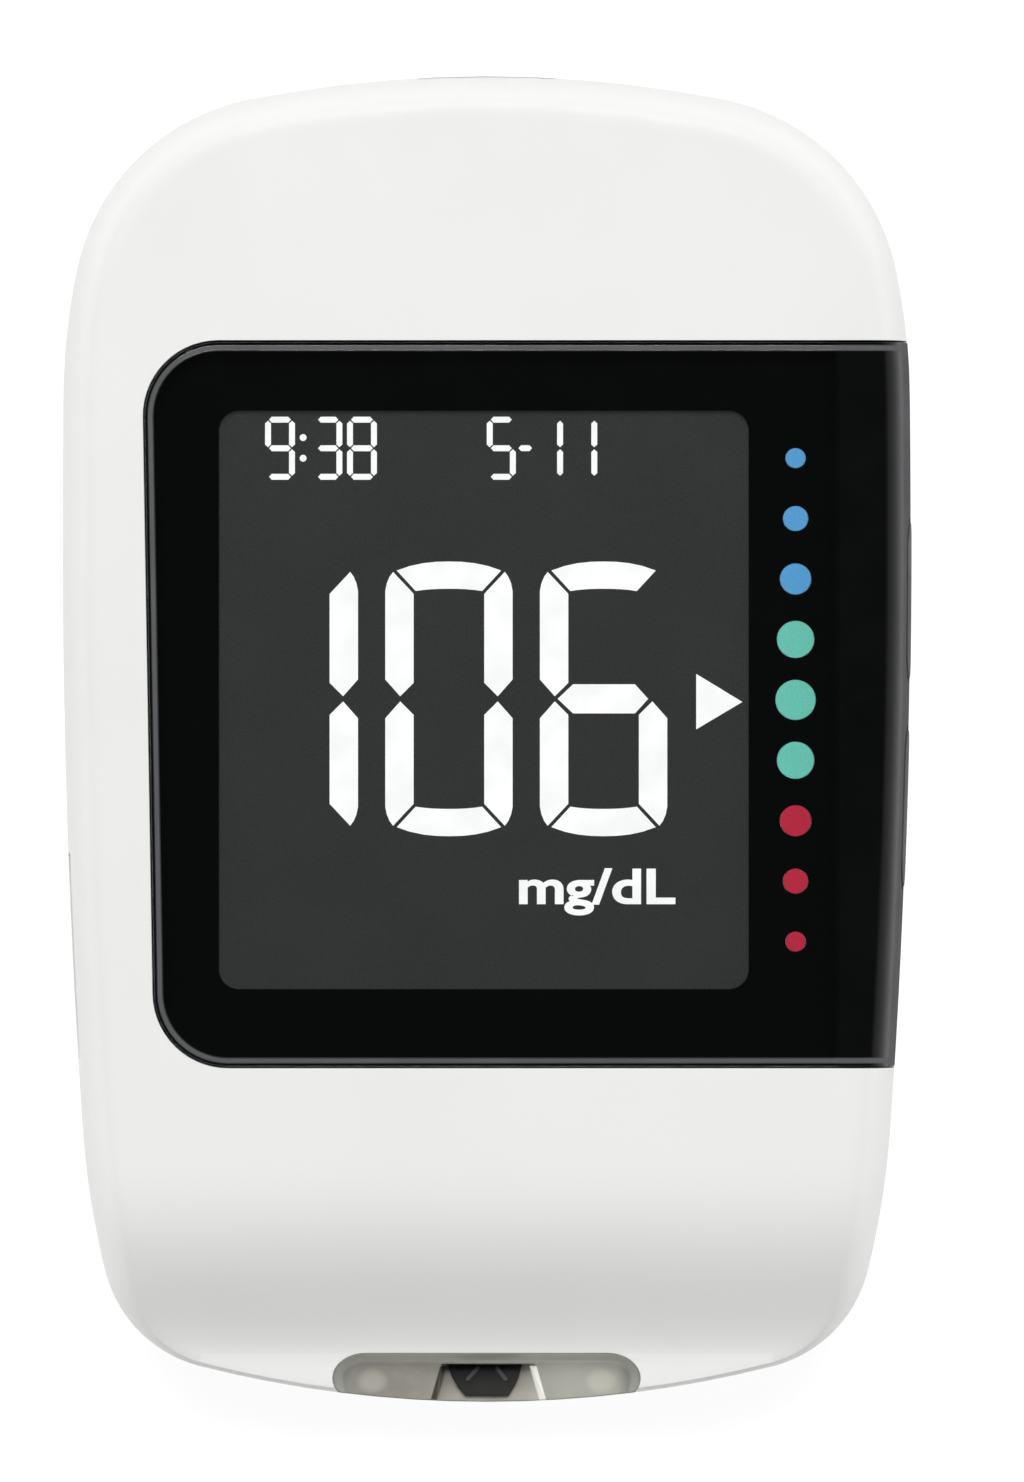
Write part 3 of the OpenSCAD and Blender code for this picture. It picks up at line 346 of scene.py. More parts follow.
def stroke(start, end, width):
    """Bar between two points whose ends are cut to a blunt point."""
    along = (Vector(end) - Vector(start)).normalized()
    across = Vector((-along.y, along.x)) * width / 2
    short, point = along * width * STROKE_SHORT, along * width * STROKE_POINT
    a, b = Vector(start) + short, Vector(end) - short
    wide, far = across * STROKE_SHOULDER[0], point * STROKE_SHOULDER[1]
    return [a - point, a + wide - far, a + across, b + across, b + wide + far,
            b + point, b - wide + far, b - across, a - across, a - wide - far]


def round_rect(width, height, radius, steps, centre=(0, 0)):
    x, y = width / 2 - radius, height / 2 - radius
    points = []
    for k, (sx, sy) in enumerate(((1, 1), (-1, 1), (-1, -1), (1, -1))):
        points += arc((centre[0] + sx * x, centre[1] + sy * y), radius, 90 * k, 90 * k + 90, steps)
    return points


def rod(radius, low, high, segments, place):
    bm = bmesh.new()
    bmesh.ops.create_cone(bm, cap_ends=True, segments=segments, radius1=radius, radius2=radius,
                          depth=high - low)
    return moved(bm, (*place, (low + high) / 2))


def ball(radius, centre):
    bm = bmesh.new()
    bmesh.ops.create_uvsphere(bm, u_segments=48, v_segments=24, radius=radius)
    return moved(bm, centre)


def slab(bm, points, height, thickness):
    """Adds a flat piece of the given plan to the bmesh."""
    face = bmesh.ops.contextual_create(bm, geom=[bm.verts.new((x, y, height)) for x, y in points])["faces"]
    bmesh.ops.translate(bm, vec=(0, 0, thickness), verts=raised(bm, face, True)[1])


def linked(name, data):
    obj = bpy.data.objects.new(name, data)
    bpy.context.scene.collection.objects.link(obj)
    return obj


def mesh_object(name, bm):
    """Makes an object of the bmesh and frees it."""
    mesh = bpy.data.meshes.new(name)
    bm.to_mesh(mesh)
    bm.free()
    return linked(name, mesh)


def without(*solids):
    return [("DIFFERENCE", solid) for solid in solids]


def combined(base, *steps):
    """The base with each (operation, solid) applied to it in turn."""
    target, tools = mesh_object("work", base), []
    for operation, tool in steps:
        tools.append(mesh_object("work", tool))
        cut = target.modifiers.new("cut", "BOOLEAN")
        cut.operation, cut.object, cut.solver = operation, tools[-1], "MANIFOLD"
    bpy.context.view_layer.update()
    bm = bmesh.new()
    bm.from_object(target, bpy.context.evaluated_depsgraph_get())
    for obj in (target, *tools):
        mesh = obj.data
        bpy.data.objects.remove(obj)
        bpy.data.meshes.remove(mesh)
    bmesh.ops.dissolve_degenerate(bm, edges=bm.edges, dist=SLIVER)
    return bm


def merged_copy(node, flat=1.0):
    """A CAD node's surface with its triangles joined into whole faces."""
    bm = bmesh.new()
    bm.from_mesh(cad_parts[node].data)
    bmesh.ops.scale(bm, vec=(1 / MM,) * 3, verts=bm.verts)
    bmesh.ops.remove_doubles(bm, verts=bm.verts, dist=WELD)
    bmesh.ops.dissolve_degenerate(bm, edges=bm.edges, dist=SHORT)
    bmesh.ops.dissolve_limit(bm, angle_limit=math.radians(flat), verts=bm.verts, edges=bm.edges)
    return bm


def soften(bm, width, segments, angle=40, where=lambda edge: True):
    """Rounds the edges that turn by more than the angle, in degrees."""
    edges = [edge for edge in bm.edges if len(edge.link_faces) == 2
             and edge.calc_face_angle(0) > math.radians(angle) and where(edge)]
    bmesh.ops.bevel(bm, geom=edges, offset=width, offset_type="OFFSET", segments=segments, profile=0.5,
                    affect="EDGES", clamp_overlap=True, material=-1)
    return bm


def finished(name, bm, finish, body="root", stands_for=(), sharp=35, smoothed=True):
    """Turns a millimetre bmesh into a piece of the meter."""
    bmesh.ops.scale(bm, vec=(MM,) * 3, verts=bm.verts)
    for face in bm.faces:
        face.smooth = True
    for edge in bm.edges:
        edge.smooth = len(edge.link_faces) == 2 and edge.calc_face_angle(0) < math.radians(sharp)
    obj = mesh_object(name, bm)
    obj.data.materials.append(finish)
    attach(obj, body)
    if stands_for:
        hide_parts(*stands_for)
    for node in stands_for:
        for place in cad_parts[node].material_slots:
            place.material = finish
    if smoothed:
        shading = obj.modifiers.new("shading", "WEIGHTED_NORMAL")
        shading.keep_sharp = True
    return obj


# ---- Finishes ----
NOISE_MIDDLE, ACRYLIC_IOR = (0.3, 0.7), 1.49
# Band and end of the funnel's walls that carry painted light and shade
WALL_BAND, WALL_END = (0.14, 0.24), (FUNNEL_THROAT - 0.16, FUNNEL_THROAT - 0.06)


class Signal:
    """A shader socket that takes arithmetic."""

    def __init__(self, finish, socket):
        self.finish, self.socket = finish, socket

    def math(self, operation, *values):
        return self.finish.math(operation, *values)

    def __add__(self, other): return self.math("ADD", self, other)
    def __radd__(self, other): return self.math("ADD", other, self)
    def __sub__(self, other): return self.math("SUBTRACT", self, other)
    def __rsub__(self, other): return self.math("SUBTRACT", other, self)
    def __mul__(self, other): return self.math("MULTIPLY", self, other)
    def __rmul__(self, other): return self.math("MULTIPLY", other, self)
    def __truediv__(self, other): return self.math("DIVIDE", self, other)
    def __abs__(self): return self.math("ABSOLUTE", self)


class Finish:
    """A node material; its nodes are added by name with their settings and sockets."""

    output = "ShaderNodeOutputMaterial"

    def __init__(self, name):
        self.start(bpy.data.materials.new(name), "Object")

    def start(self, material, coordinates):
        self.material = material
        self.material.use_nodes = True
        self.tree = self.material.node_tree
        self.tree.nodes.clear()
        self.place = self.node("ShaderNodeTexCoord", {}, out=coordinates)

    def axes(self):
        """The three coordinates in millimetres."""
        return [self.node("ShaderNodeSeparateXYZ", {}, self.place, out=axis) / MM for axis in "XYZ"]

    def node(self, kind, settings, *values, out=0, **sockets):
        node = self.tree.nodes.new(kind)
        for key, value in settings.items():
            setattr(node, key, value)
        inputs = list(zip(node.inputs, values))
        inputs += [(node.inputs[key.replace("_", " ")], value) for key, value in sockets.items()]
        for socket, value in inputs:
            self.feed(socket, value)
        return Signal(self, node.outputs[out])

    def feed(self, socket, value):
        if isinstance(value, Signal):
            self.tree.links.new(value.socket, socket)
        else:
            socket.default_value = value

    def math(self, operation, *values):
        return self.node("ShaderNodeMath", {"operation": operation}, *values)

    def noise(self, per_mm, detail, roughness=0.5, stretch=(1, 1, 1)):
        place = self.place
        if stretch != (1, 1, 1):
            place = self.node("ShaderNodeMapping", {}, place, Scale=stretch)
        return self.node("ShaderNodeTexNoise", {}, Vector=place, Scale=per_mm / MM, Detail=detail,
                         Roughness=roughness)

    def ramp(self, value, low, high, to_low=0.0, to_high=1.0):
        return self.node("ShaderNodeMapRange", {"interpolation_type": "SMOOTHSTEP"},
                         value, low, high, to_low, to_high)

    def spread(self, noise, to_low=0.0, to_high=1.0):
        """A ramp over the middle of a noise's range."""
        return self.ramp(noise, *NOISE_MIDDLE, to_low, to_high)

    def mix(self, factor, one, two):
        node = self.tree.nodes.new("ShaderNodeMix")
        node.data_type = "RGBA"
        for index, value in ((0, factor), (6, one), (7, two)):
            self.feed(node.inputs[index], value)
        return Signal(self, node.outputs[2])

    def layered(self, factor, one, two):
        return self.node("ShaderNodeMixShader", {}, factor, one, two)

    def bump(self, height, distance_mm):
        return self.node("ShaderNodeBump", {}, Strength=1.0, Distance=distance_mm * MM, Height=height)

    def surface(self, **sockets):
        return self.node("ShaderNodeBsdfPrincipled", {}, **sockets)

    def done(self, shader):
        output = self.tree.nodes.new(self.output)
        self.tree.links.new(shader.socket, output.inputs[0])
        return self.material


def rgb(red, green, blue):
    """Linear colour of an 8-bit screen colour."""
    return tuple((c / 255 / 12.92 if c <= 10.3 else ((c / 255 + 0.055) / 1.055) ** 2.4)
                 for c in (red, green, blue)) + (1.0,)


def shade(colour, factor):
    return tuple(min(c * factor, 1.0) for c in colour[:3]) + (1.0,)


def moulded(name, colour, rough, grain, depth, drift):
    """Injection-moulded plastic: slow tone drift, fine spark-eroded grain, uneven gloss."""
    f = Finish(name)
    slow, fine = f.noise(0.06, 2), f.noise(grain, 4)
    base = f.mix(f.ramp(slow, 0.35, 0.65), shade(colour, 1 - drift), shade(colour, 1 + drift / 2))
    base = f.mix(f.ramp(fine, 0.62, 0.8, 0, 0.25), base, shade(colour, 0.93))
    gloss = f.spread(f.noise(0.35, 3), rough - 0.04, rough + 0.05) + fine * 0.04
    return f.done(f.surface(Base_Color=base, Roughness=gloss, Normal=f.bump(fine, depth)))


def printed(name, colour):
    """Ink printed on the back of clear plastic, so it has no gloss of its own; a fine dot grain."""
    f = Finish(name)
    grain = f.noise(9, 2)
    base = f.mix(f.ramp(grain, 0.4, 0.7), shade(colour, 1.03), shade(colour, 0.94))
    return f.done(f.surface(Base_Color=base, Roughness=f.spread(grain, 0.5, 0.7), Specular_IOR_Level=0.0,
                            Normal=f.bump(grain, 0.002)))


def metal(name, colour, rough, stretch, grain=1.2):
    """Rolled or plated sheet with fine lines along it and dull patches."""
    f = Finish(name)
    lines, cloud = f.noise(grain, 4, 0.6, stretch), f.noise(0.4, 3)
    base = f.mix(f.ramp(lines, 0.35, 0.7), shade(colour, 0.86), colour)
    base = f.mix(f.ramp(cloud, 0.55, 0.75, 0, 0.3), base, shade(colour, 0.7))
    gloss = f.spread(lines, rough - 0.06, rough + 0.1) + cloud * 0.06
    return f.done(f.surface(Base_Color=base, Metallic=1.0, Roughness=gloss, Normal=f.bump(lines, 0.003)))


WHITE_FRONT = moulded("white_front_shell", rgb(240, 240, 238), 0.5, 5.0, 0.003, 0.012)
WHITE_REAR = moulded("white_rear_shell", rgb(233, 233, 231), 0.48, 7.0, 0.010, 0.015)
WHITE_DOOR = moulded("white_door", rgb(231, 231, 229), 0.48, 7.0, 0.010, 0.015)
BUTTON_GREY = moulded("button_grey", rgb(66, 67, 69), 0.6, 8.0, 0.006, 0.1)
EJECTOR_GREY = moulded("ejector_grey", rgb(214, 215, 212), 0.42, 6.0, 0.006, 0.02)
HOLDER_WHITE = moulded("holder_white", rgb(238, 238, 235), 0.5, 4.0, 0.004, 0.02)
LIGHT_PLATE = moulded("light_plate", rgb(226, 232, 234), 0.2, 3.0, 0.002, 0.02)
ZEBRA = moulded("zebra_rubber", rgb(74, 74, 77), 0.7, 10.0, 0.004, 0.08)
CHIP_BLACK = moulded("chip_black", rgb(40, 42, 44), 0.55, 12.0, 0.006, 0.1)
USB_BLACK = moulded("usb_insulator", rgb(28, 29, 31), 0.5, 9.0, 0.004, 0.1)
CONNECTOR_CREAM = moulded("connector_cream", rgb(230, 226, 214), 0.5, 7.0, 0.005, 0.03)
# Colour of a dark plate that is painted shade over the strip slot's mouth
SLOT_SHADE = moulded("slot_shade", rgb(22, 21, 19), 0.6, 8.0, 0.004, 0.1)
RIB_GREY = moulded("rib_grey", rgb(78, 76, 74), 0.5, 8.0, 0.004, 0.08)
STEM_DARK = moulded("switch_plunger", rgb(48, 50, 54), 0.5, 7.0, 0.004, 0.08)
BLACK_PRINT = printed("black_print", rgb(8, 10, 9))
BLUE_PRINT = printed("blue_print", rgb(97, 171, 225))
GREEN_PRINT = printed("green_print", rgb(117, 209, 192))
RED_PRINT = printed("red_print", rgb(196, 50, 74))
USB_STEEL = metal("usb_shell_steel", rgb(196, 199, 202), 0.3, (1, 1, 10))
SWITCH_STEEL = metal("switch_cover_steel", rgb(178, 181, 186), 0.32, (1, 12, 1))
CELL_STEEL = metal("cell_steel", rgb(205, 208, 210), 0.24, (8, 1, 1), 0.8)
SHEET_NICKEL = metal("contact_nickel", rgb(207, 201, 184), 0.26, (1, 10, 1))
BLADE_GOLD = metal("contact_gold", rgb(226, 190, 105), 0.2, (1, 10, 1))
SPRING_STEEL = metal("spring_steel", rgb(180, 183, 186), 0.22, (1, 1, 6), 4.0)
SCREW_STEEL = metal("screw_steel", rgb(150, 155, 160), 0.34, (6, 1, 1), 2.0)


def board_laminate():
    """Green solder mask over a faint copper pattern."""
    f = Finish("board_laminate")
    tracks = f.node("ShaderNodeTexWave", {"wave_type": "BANDS", "bands_direction": "DIAGONAL"}, f.place,
                    Scale=220.0, Distortion=6.0, Detail=2.0, Detail_Scale=0.6, out="Fac")
    grain = f.noise(3, 3)
    base = f.mix(f.ramp(tracks, 0.55, 0.62), rgb(32, 96, 62), rgb(48, 122, 80))
    base = f.mix(f.ramp(grain, 0.55, 0.75, 0, 0.4), base, rgb(27, 84, 54))
    return f.done(f.surface(Base_Color=base, Roughness=f.spread(grain, 0.28, 0.4),
                            Normal=f.bump(tracks + grain * 0.3, 0.02)))


def display_glass(name, colour):
    """Glass with a dark polariser film: a fine grain and a faint cloud, lit a little from behind."""
    f = Finish(name)
    cloud, fine = f.noise(0.15, 2), f.noise(14, 2)
    glow = f.mix(f.spread(cloud), shade(colour, 0.55), shade(colour, 0.62))
    return f.done(f.surface(Base_Color=shade(colour, 0.4), Emission_Color=glow, Emission_Strength=1.0,
                            Roughness=f.spread(fine, 0.22, 0.32), Normal=f.bump(fine, 0.001),
                            Specular_IOR_Level=0.2))


def lit_segments():
    """Display segments lit from behind, a little uneven."""
    f = Finish("lit_segments")
    cloud = f.spread(f.noise(0.5, 2))
    base = f.mix(cloud, (0.5, 0.5, 0.5, 1), (0.54, 0.54, 0.54, 1))
    glow = f.mix(cloud, (0.55, 0.55, 0.55, 1), (0.6, 0.6, 0.6, 1))
    return f.done(f.surface(Base_Color=base, Emission_Color=glow, Emission_Strength=1.0, Roughness=0.5))


def window_acrylic():
    """Clear acrylic over a black print, only black on the side's roll; matte grey is painted for highlight
    and reflection.
    """
    f = Finish("window_acrylic")
    x, y, z = f.axes()
    haze = f.noise(0.3, 3)
    smear = f.ramp(haze, 0.35, 0.7, 0.03, 0.07)
    outer_face = 1 - f.node("ShaderNodeNewGeometry", {}, out="Backfacing")
    gloss = f.node("ShaderNodeBsdfGlossy", {}, (1, 1, 1, 1), smear)
    clear = f.node("ShaderNodeBsdfTransparent", {}, (0.975, 0.98, 0.978, 1))
    pane = f.layered(f.node("ShaderNodeFresnel", {}, ACRYLIC_IOR) * outer_face, clear, gloss)
    black = f.surface(Base_Color=f.mix(f.spread(haze), rgb(11, 12, 12), rgb(14, 15, 15)),
                      Roughness=smear, IOR=ACRYLIC_IOR, Specular_IOR_Level=0.15)
    # Matte grey without gloss: a painted highlight on the bevel rim and ends, a painted reflection low on the
    # side's roll
    painted_sheen = f.surface(Base_Color=f.mix(f.spread(haze), rgb(90, 91, 93), rgb(96, 97, 99)),
                      Roughness=smear + 0.4, Specular_IOR_Level=0.0)
    # The bevel rim's band, painted grey as a highlight
    rim = f.ramp(z, *RIM_START) * f.ramp(z, *RIM_END, 1.0, 0.0)
    pane = f.layered(rim, pane, painted_sheen)
    # Bands along the window's ends over the roll, painted grey as a highlight
    across = abs(y - (WINDOW_TOP + WINDOW_LOW) / 2) - (WINDOW_TOP - WINDOW_LOW) / 2
    ends = f.ramp(across, *END_START) * f.ramp(across, *END_STOP, 1.0, 0.0)
    # On the roll: matte grey painted as reflection below the black, and as highlight at the ends
    dull = f.math("MAXIMUM", f.ramp(z, *PAINTED_SHEEN_FROM, 1.0, 0.0), ends)
    return f.done(f.layered(f.ramp(x, *ROLL_START), pane, f.layered(dull, black, painted_sheen)))


def port_plastic():
    """Pale smoky plastic of the strip port with painted light and shade: lighter to the right and over the
    ends, a dark and a glowing funnel wall, a darker rim.
    """
    f = Finish("port_plastic")
    x, y, z = f.axes()
    cloud, fine = f.noise(0.5, 3), f.noise(6, 3)
    base = f.mix(f.spread(cloud), rgb(168, 165, 155), rgb(184, 181, 172))
    # Painted light: the plastic is made lighter toward the right
    base = f.mix(f.ramp(x, 1.0, 5.0), base, rgb(204, 203, 193))
    # Painted light: pools of light over both ends of the basin, stronger at the right
    aside, ahead = abs(x) - PAINTED_LIGHT_PLACE[0], y - PAINTED_LIGHT_PLACE[1]
    spot = f.ramp(aside * aside * 0.7 + ahead * ahead, 0.1, 0.75, 1.0, 0.0)
    base = f.mix(spot * f.ramp(x, -1.0, 1.0, 0.5, 0.9), base, rgb(226, 225, 211))
    # Painted light and shade on the funnel's walls: the left one dark as if shaded, the right one light
    inside = abs(x - FUNNEL_ASIDE) + (y - FUNNEL_THROAT) * FUNNEL_FLARE
    wall = f.ramp(abs(inside - FUNNEL_WALL), *WALL_BAND, 1.0, 0.0) * f.ramp(y, *WALL_END, 1.0, 0.0)
    right = f.ramp(x, -0.1, 0.1)
    base = f.mix(wall, base, f.mix(right, rgb(84, 80, 74), rgb(240, 240, 234)))
    # Painted light: the lit right wall also glows, though it is no lamp
    glow = f.mix(wall * right, rgb(0, 0, 0), rgb(180, 180, 174))
    # Painted shade: the basin's rim and its ends are a darker grey than the painted light inside
    rise = z - (y - BOWL_FRONT) * BOWL_SLOPE - BOWL_Z
    rim = f.math("MAXIMUM", f.ramp(rise, 0.03, 0.3), f.ramp(abs(x), 7.4, 8.2))
    base = f.mix(rim, base, rgb(176, 176, 169))
    base = f.mix(f.ramp(fine, 0.6, 0.8, 0, 0.15), base, rgb(150, 150, 138))
    return f.done(f.surface(Base_Color=base, Roughness=f.spread(cloud, 0.16, 0.26),
                            Normal=f.bump(fine, 0.002), Emission_Color=glow, Emission_Strength=1.0,
                            Subsurface_Weight=0.1, Subsurface_Radius=(0.0006, 0.0006, 0.0005)))


BOARD_GREEN = board_laminate()
LCD_FRONT = display_glass("display_front_glass", rgb(48, 50, 49))
LCD_REAR = display_glass("display_rear_glass", rgb(60, 62, 60))
SEGMENTS = lit_segments()
WINDOW_CLEAR = window_acrylic()
PORT_GREY = port_plastic()


# ---- Window: a sheet that lies flat over the display and rolls down the right side ----
def window_edge_x(y):
    return WINDOW_LEFT + WINDOW_LEAN * (WINDOW_TOP - y) / (WINDOW_TOP - WINDOW_LOW)


def window_sheet(levels, side_proud=SIDE_PROUD):
    """Closed slab over the window's plan; a level is (depth under the housing, inset of the plan).

    At the side the slab stands no further proud of the housing than side_proud.
    """
    lean = math.degrees(math.atan(WINDOW_LEAN / (WINDOW_TOP - WINDOW_LOW)))
    corners = []
    for y, start, stop in ((WINDOW_TOP - WINDOW_R, 90, 180 + lean), (WINDOW_LOW + WINDOW_R, 180 + lean, 270)):
        centre = (window_edge_x(y) + WINDOW_R / math.cos(math.radians(lean)), y)
        corners += [(centre, math.radians(start + (stop - start) * i / CORNER_STEPS))
                    for i in range(CORNER_STEPS + 1)]
    spots = [("corner", *corner) for corner in corners]
    spots += [("side", row, 1.0, WINDOW_GUARD) for row in range(WINDOW_ROWS + 1)]
    spots += [("side", row, 1.0 - ring / WINDOW_RINGS, 0.0)
              for ring in range(WINDOW_RINGS + 1) for row in range(WINDOW_ROWS + 1)]

    def put(vert, depth, inset):
        kind, *where = spots[vert[spot]]
        if kind == "corner":
            (x, y), angle = where
            reach = WINDOW_R - inset
            vert.co = (x + reach * math.cos(angle), y + reach * math.sin(angle), FACE_Z - depth)
            return
        row, ring, guard = where
        y = WINDOW_LOW + (WINDOW_TOP - WINDOW_LOW) * row / WINDOW_ROWS
        y += inset if row == 0 else -inset if row == WINDOW_ROWS else 0
        crown = FACE_Z - depth
        low = math.asin(min(max(WINDOW_FOOT + inset, 0.001) / (crown - PART_Z), 1) ** (FRONT_POWER / 2))
        angle = low + (SIDE_TURN - low) * ring
        across, rise = 1 - math.cos(angle) ** (2 / FRONT_POWER), math.sin(angle) ** (2 / FRONT_POWER)
        x = side_x(y, max(depth, -side_proud) + max(FRONT_ROUND - depth, LEAST_ROUND) * across + guard)
        vert.co = (x, y, PART_Z + (crown - PART_Z) * rise)

    bm = bmesh.new()
    spot = bm.verts.layers.int.new("spot")
    flat = len(corners) + WINDOW_ROWS + 1
    for index in range(flat):
        vert = bm.verts.new()
        vert[spot] = index
        put(vert, *levels[0])
    bmesh.ops.contextual_create(bm, geom=list(bm.verts))
    edges = [edge for edge in bm.edges if all(vert[spot] >= len(corners) for vert in edge.verts)]
    for _ in range(WINDOW_RINGS + 1):
        fresh, edges = drawn_out(bm, edges)
        for vert in fresh:
            vert[spot] += WINDOW_ROWS + 1
            put(vert, *levels[0])
    faces = list(bm.faces)
    for step, (depth, inset) in enumerate(levels[1:]):
        faces, fresh = raised(bm, faces, step == 0)
        for vert in fresh:
            put(vert, depth, inset)
    return outward(bm)


# ---- Openings that several pieces share ----
def along_side(bm, y):
    """Turns a plate so that its plan lies on the right wall, with its height running outward."""
    return turned(bm, Matrix(((0, 0, 1, 0), (1, 0, 0, y), (0, 1, 0, BUTTON_Z), (0, 0, 0, 1))))


def button_column(y, growth, levels):
    plan = round_rect(BUTTON_L + 2 * growth, BUTTON_H + 2 * growth, BUTTON_H / 2 + growth, 12)
    return along_side(plate(plan, levels), y)


def button_hole(y, flare=0.0):
    wall = side_x(y)
    return button_column(y, SLIDE_GAP, [(wall + step, growth)
                                        for step, growth in zip(BUTTON_HOLE, (0, 0, flare, flare))])


def port_column(growth, *levels):
    """The slanting part of the port, run along its own axis; a level is (height, further growth)."""
    plan = round_rect(PORT_W + 2 * growth, PORT_H + 2 * growth, PORT_R + growth, 12)
    place = Matrix.Translation((0, PORT_Y, lip_at(PORT_Y)))
    return turned(plate(plan, levels), place @ Matrix.Rotation(math.radians(PORT_TILT), 4, "X"))


def opening_outline(reach=1.0):
    """The port's opening from above, a long oval whose front half may reach further out."""
    ends = arc((0, 0), 1, -90, 90, 24), arc((0, 0), 1, 90, 270, 24)
    return [(side * OPENING_FLAT + x * OPENING_END[0],
             OPENING_MIDDLE + y * OPENING_END[1] * (reach if y < 0 else 1))
            for side, end in zip((1, -1), ends) for x, y in end]


def opening_column(growth):
    return plate(opening_outline(), [(OPENING_SILL - growth, growth), (FACE_Z + 1, growth)])


def strip_funnel():
    """The channel through the guide, wide at the mouth and narrower toward the slot."""
    bm = block((-1, FUNNEL_MOUTH, 0), (1, FUNNEL_THROAT + 0.05, 1))
    for vert in bm.verts:
        inner, upper = vert.co.y > (FUNNEL_MOUTH + FUNNEL_THROAT) / 2, vert.co.z > 0.5
        floor = BOWL_Z + BOWL_SLOPE * (vert.co.y - BOWL_FRONT)
        lean = (FUNNEL_TOP_HALF[inner] - FUNNEL_HALF[inner]) / (floor - FUNNEL_FLOOR[inner])
        height = FUNNEL_RISE * (floor - FUNNEL_FLOOR[inner]) if upper else 0
        vert.co.x = FUNNEL_ASIDE + vert.co.x * (FUNNEL_HALF[inner] + lean * height)
        vert.co.z = FUNNEL_FLOOR[inner] + height
    return bm


def usb_column(growth, *levels):
    """The socket's section run along Y; a level is (y, further growth)."""
    w = USB_W / 2 + growth
    across, high = USB_CHAMFER
    section = [(-w, USB_H + growth), (-w, USB_H * high), (-w + USB_W * across, -growth),
               (w - USB_W * across, -growth), (w, USB_H * high), (w, USB_H + growth)]
    rows = (1, 0, 0, 0), (0, 0, 1, 0), (0, 1, 0, USB_Z), (0, 0, 0, 1)
    return turned(plate(section, levels), Matrix(rows))


def door_opening():
    width, length = DOOR_W + 2 * SLIDE_GAP, DOOR_MAX - DOOR_MIN + 2 * SLIDE_GAP
    plan = round_rect(width, length, DOOR_R, 8, (0, (DOOR_MIN + DOOR_MAX) / 2))
    return plate(plan, [(-0.5, 0.3), (0, 0.12), (0.15, 0), (1.5, 0)])


def thumb_notch():
    return ball(NOTCH_R, (0, DOOR_MAX + NOTCH_Y, NOTCH_Z))


def screw_seat(place):
    plan = arc(place, SCREW_HEAD_D / 2 + SLIDE_GAP, 0, 352.5, 47)
    return plate(plan, [(-0.33, 0.35), (0.12, 0), (SCREW_SINK + 1.1, 0)])


def slide_room(length, height, outer, inner):
    """Room in the left wall for a part of the ejector, as long as the part and its travel."""
    return block((outer, PAD_Y - length / 2 - EJECTOR_TRAVEL - SLIDE_GAP, PAD_Z - height / 2 - SLIDE_GAP),
                 (inner, PAD_Y + length / 2 + SLIDE_GAP, PAD_Z + height / 2 + SLIDE_GAP))


# ---- Housing ----
def front_cover():
    """Upper shell with its bosses, the window's seat, and all that opens through it."""
    bosses = [("UNION", rod(BOSS_D / 2, PART_Z + SEAM, face_at(y - BOSS_D / 2) - FRONT_WALL / 2, 40, (x, y)))
              for x, y in SCREW_PLACES]
    cuts = [
        window_sheet([(WINDOW_SEAT, -SEAT_GAP), (0.02, -SEAT_GAP),
                      (-0.02, -SEAT_FLARE), (-BEYOND, -SEAT_FLARE)], BEYOND),
        block((*(low - GLASS_ROOM for low in GLASS_MIN), GLASS_ROOM_Z[0]),
              (*(high + GLASS_ROOM for high in GLASS_MAX), GLASS_ROOM_Z[1])),
        *(rod(SCREW_HOLE_R, PART_Z - 1, SCREW_HOLE_TOP, 20, place) for place in SCREW_PLACES),
        *(button_hole(y) for y in BUTTON_YS),
        opening_column(OPENING_GAP),
        port_column(PORT_GAP, (-PORT_DEPTH - PORT_SPARE, 0), (OPENING_ROOT, 0)), strip_funnel(),
        usb_column(USB_GAP, (USB_INNER_Y, 0), (END_Y - 0.25, 0),
                   (END_Y + 0.15, USB_FLARE), (END_Y + 1, USB_FLARE)),
        slide_room(PAD_L, PAD_H, -HALF_W - BEYOND, -PAD_FLOOR),
        slide_room(NECK_L, EJECTOR_T, -HALF_W, FRONT_WALL - PAD_FLOOR),
    ]
    hollow = without(front_dome(FRONT_WALL, PART_Z - OVERLAP, 10))
    bm = combined(front_dome(0, seam=SEAM), *hollow, *bosses, *without(*cuts))
    return finished("front_shell", bm, WHITE_FRONT, stands_for=["front_cover"])


def rear_cover():
    """A smooth outer skin joined to the pockets, bosses, ribs and rim inside."""
    below = combined(block([-reach for reach in AROUND], (*AROUND[:2], PART_Z)),
                     *without(rear_dome(SKIN_JOIN, PART_Z + OVERLAP)))
    inside = combined(merged_copy("rear_cover", 0.2), *without(below))
    skin = combined(rear_dome(0, seam=SEAM),
                    *without(rear_dome(SKIN_T, PART_Z + OVERLAP), door_opening(), thumb_notch(),
                             *map(screw_seat, SCREW_PLACES)))
    bm = combined(inside, ("UNION", skin))
    return finished("rear_shell", bm, WHITE_REAR, stands_for=["rear_cover"])


def display_window():
    """The window with a bevelled rim and the buttons' holes."""
    bm = combined(window_sheet(WINDOW_BEVEL), *without(*(button_hole(y, 0.3) for y in BUTTON_YS)))
    return finished("window_pane", bm, WINDOW_CLEAR, stands_for=["display_window"])


def dot_places():
    """Centre and radius of each dot, the largest in the middle."""
    middle = (DISPLAY_MIN[1] + DISPLAY_MAX[1]) / 2
    return [((DOT_X, middle - step * DOT_PITCH), DOT_D[abs(step)] / 2)
            for step in range(1 - len(DOT_D), len(DOT_D))]


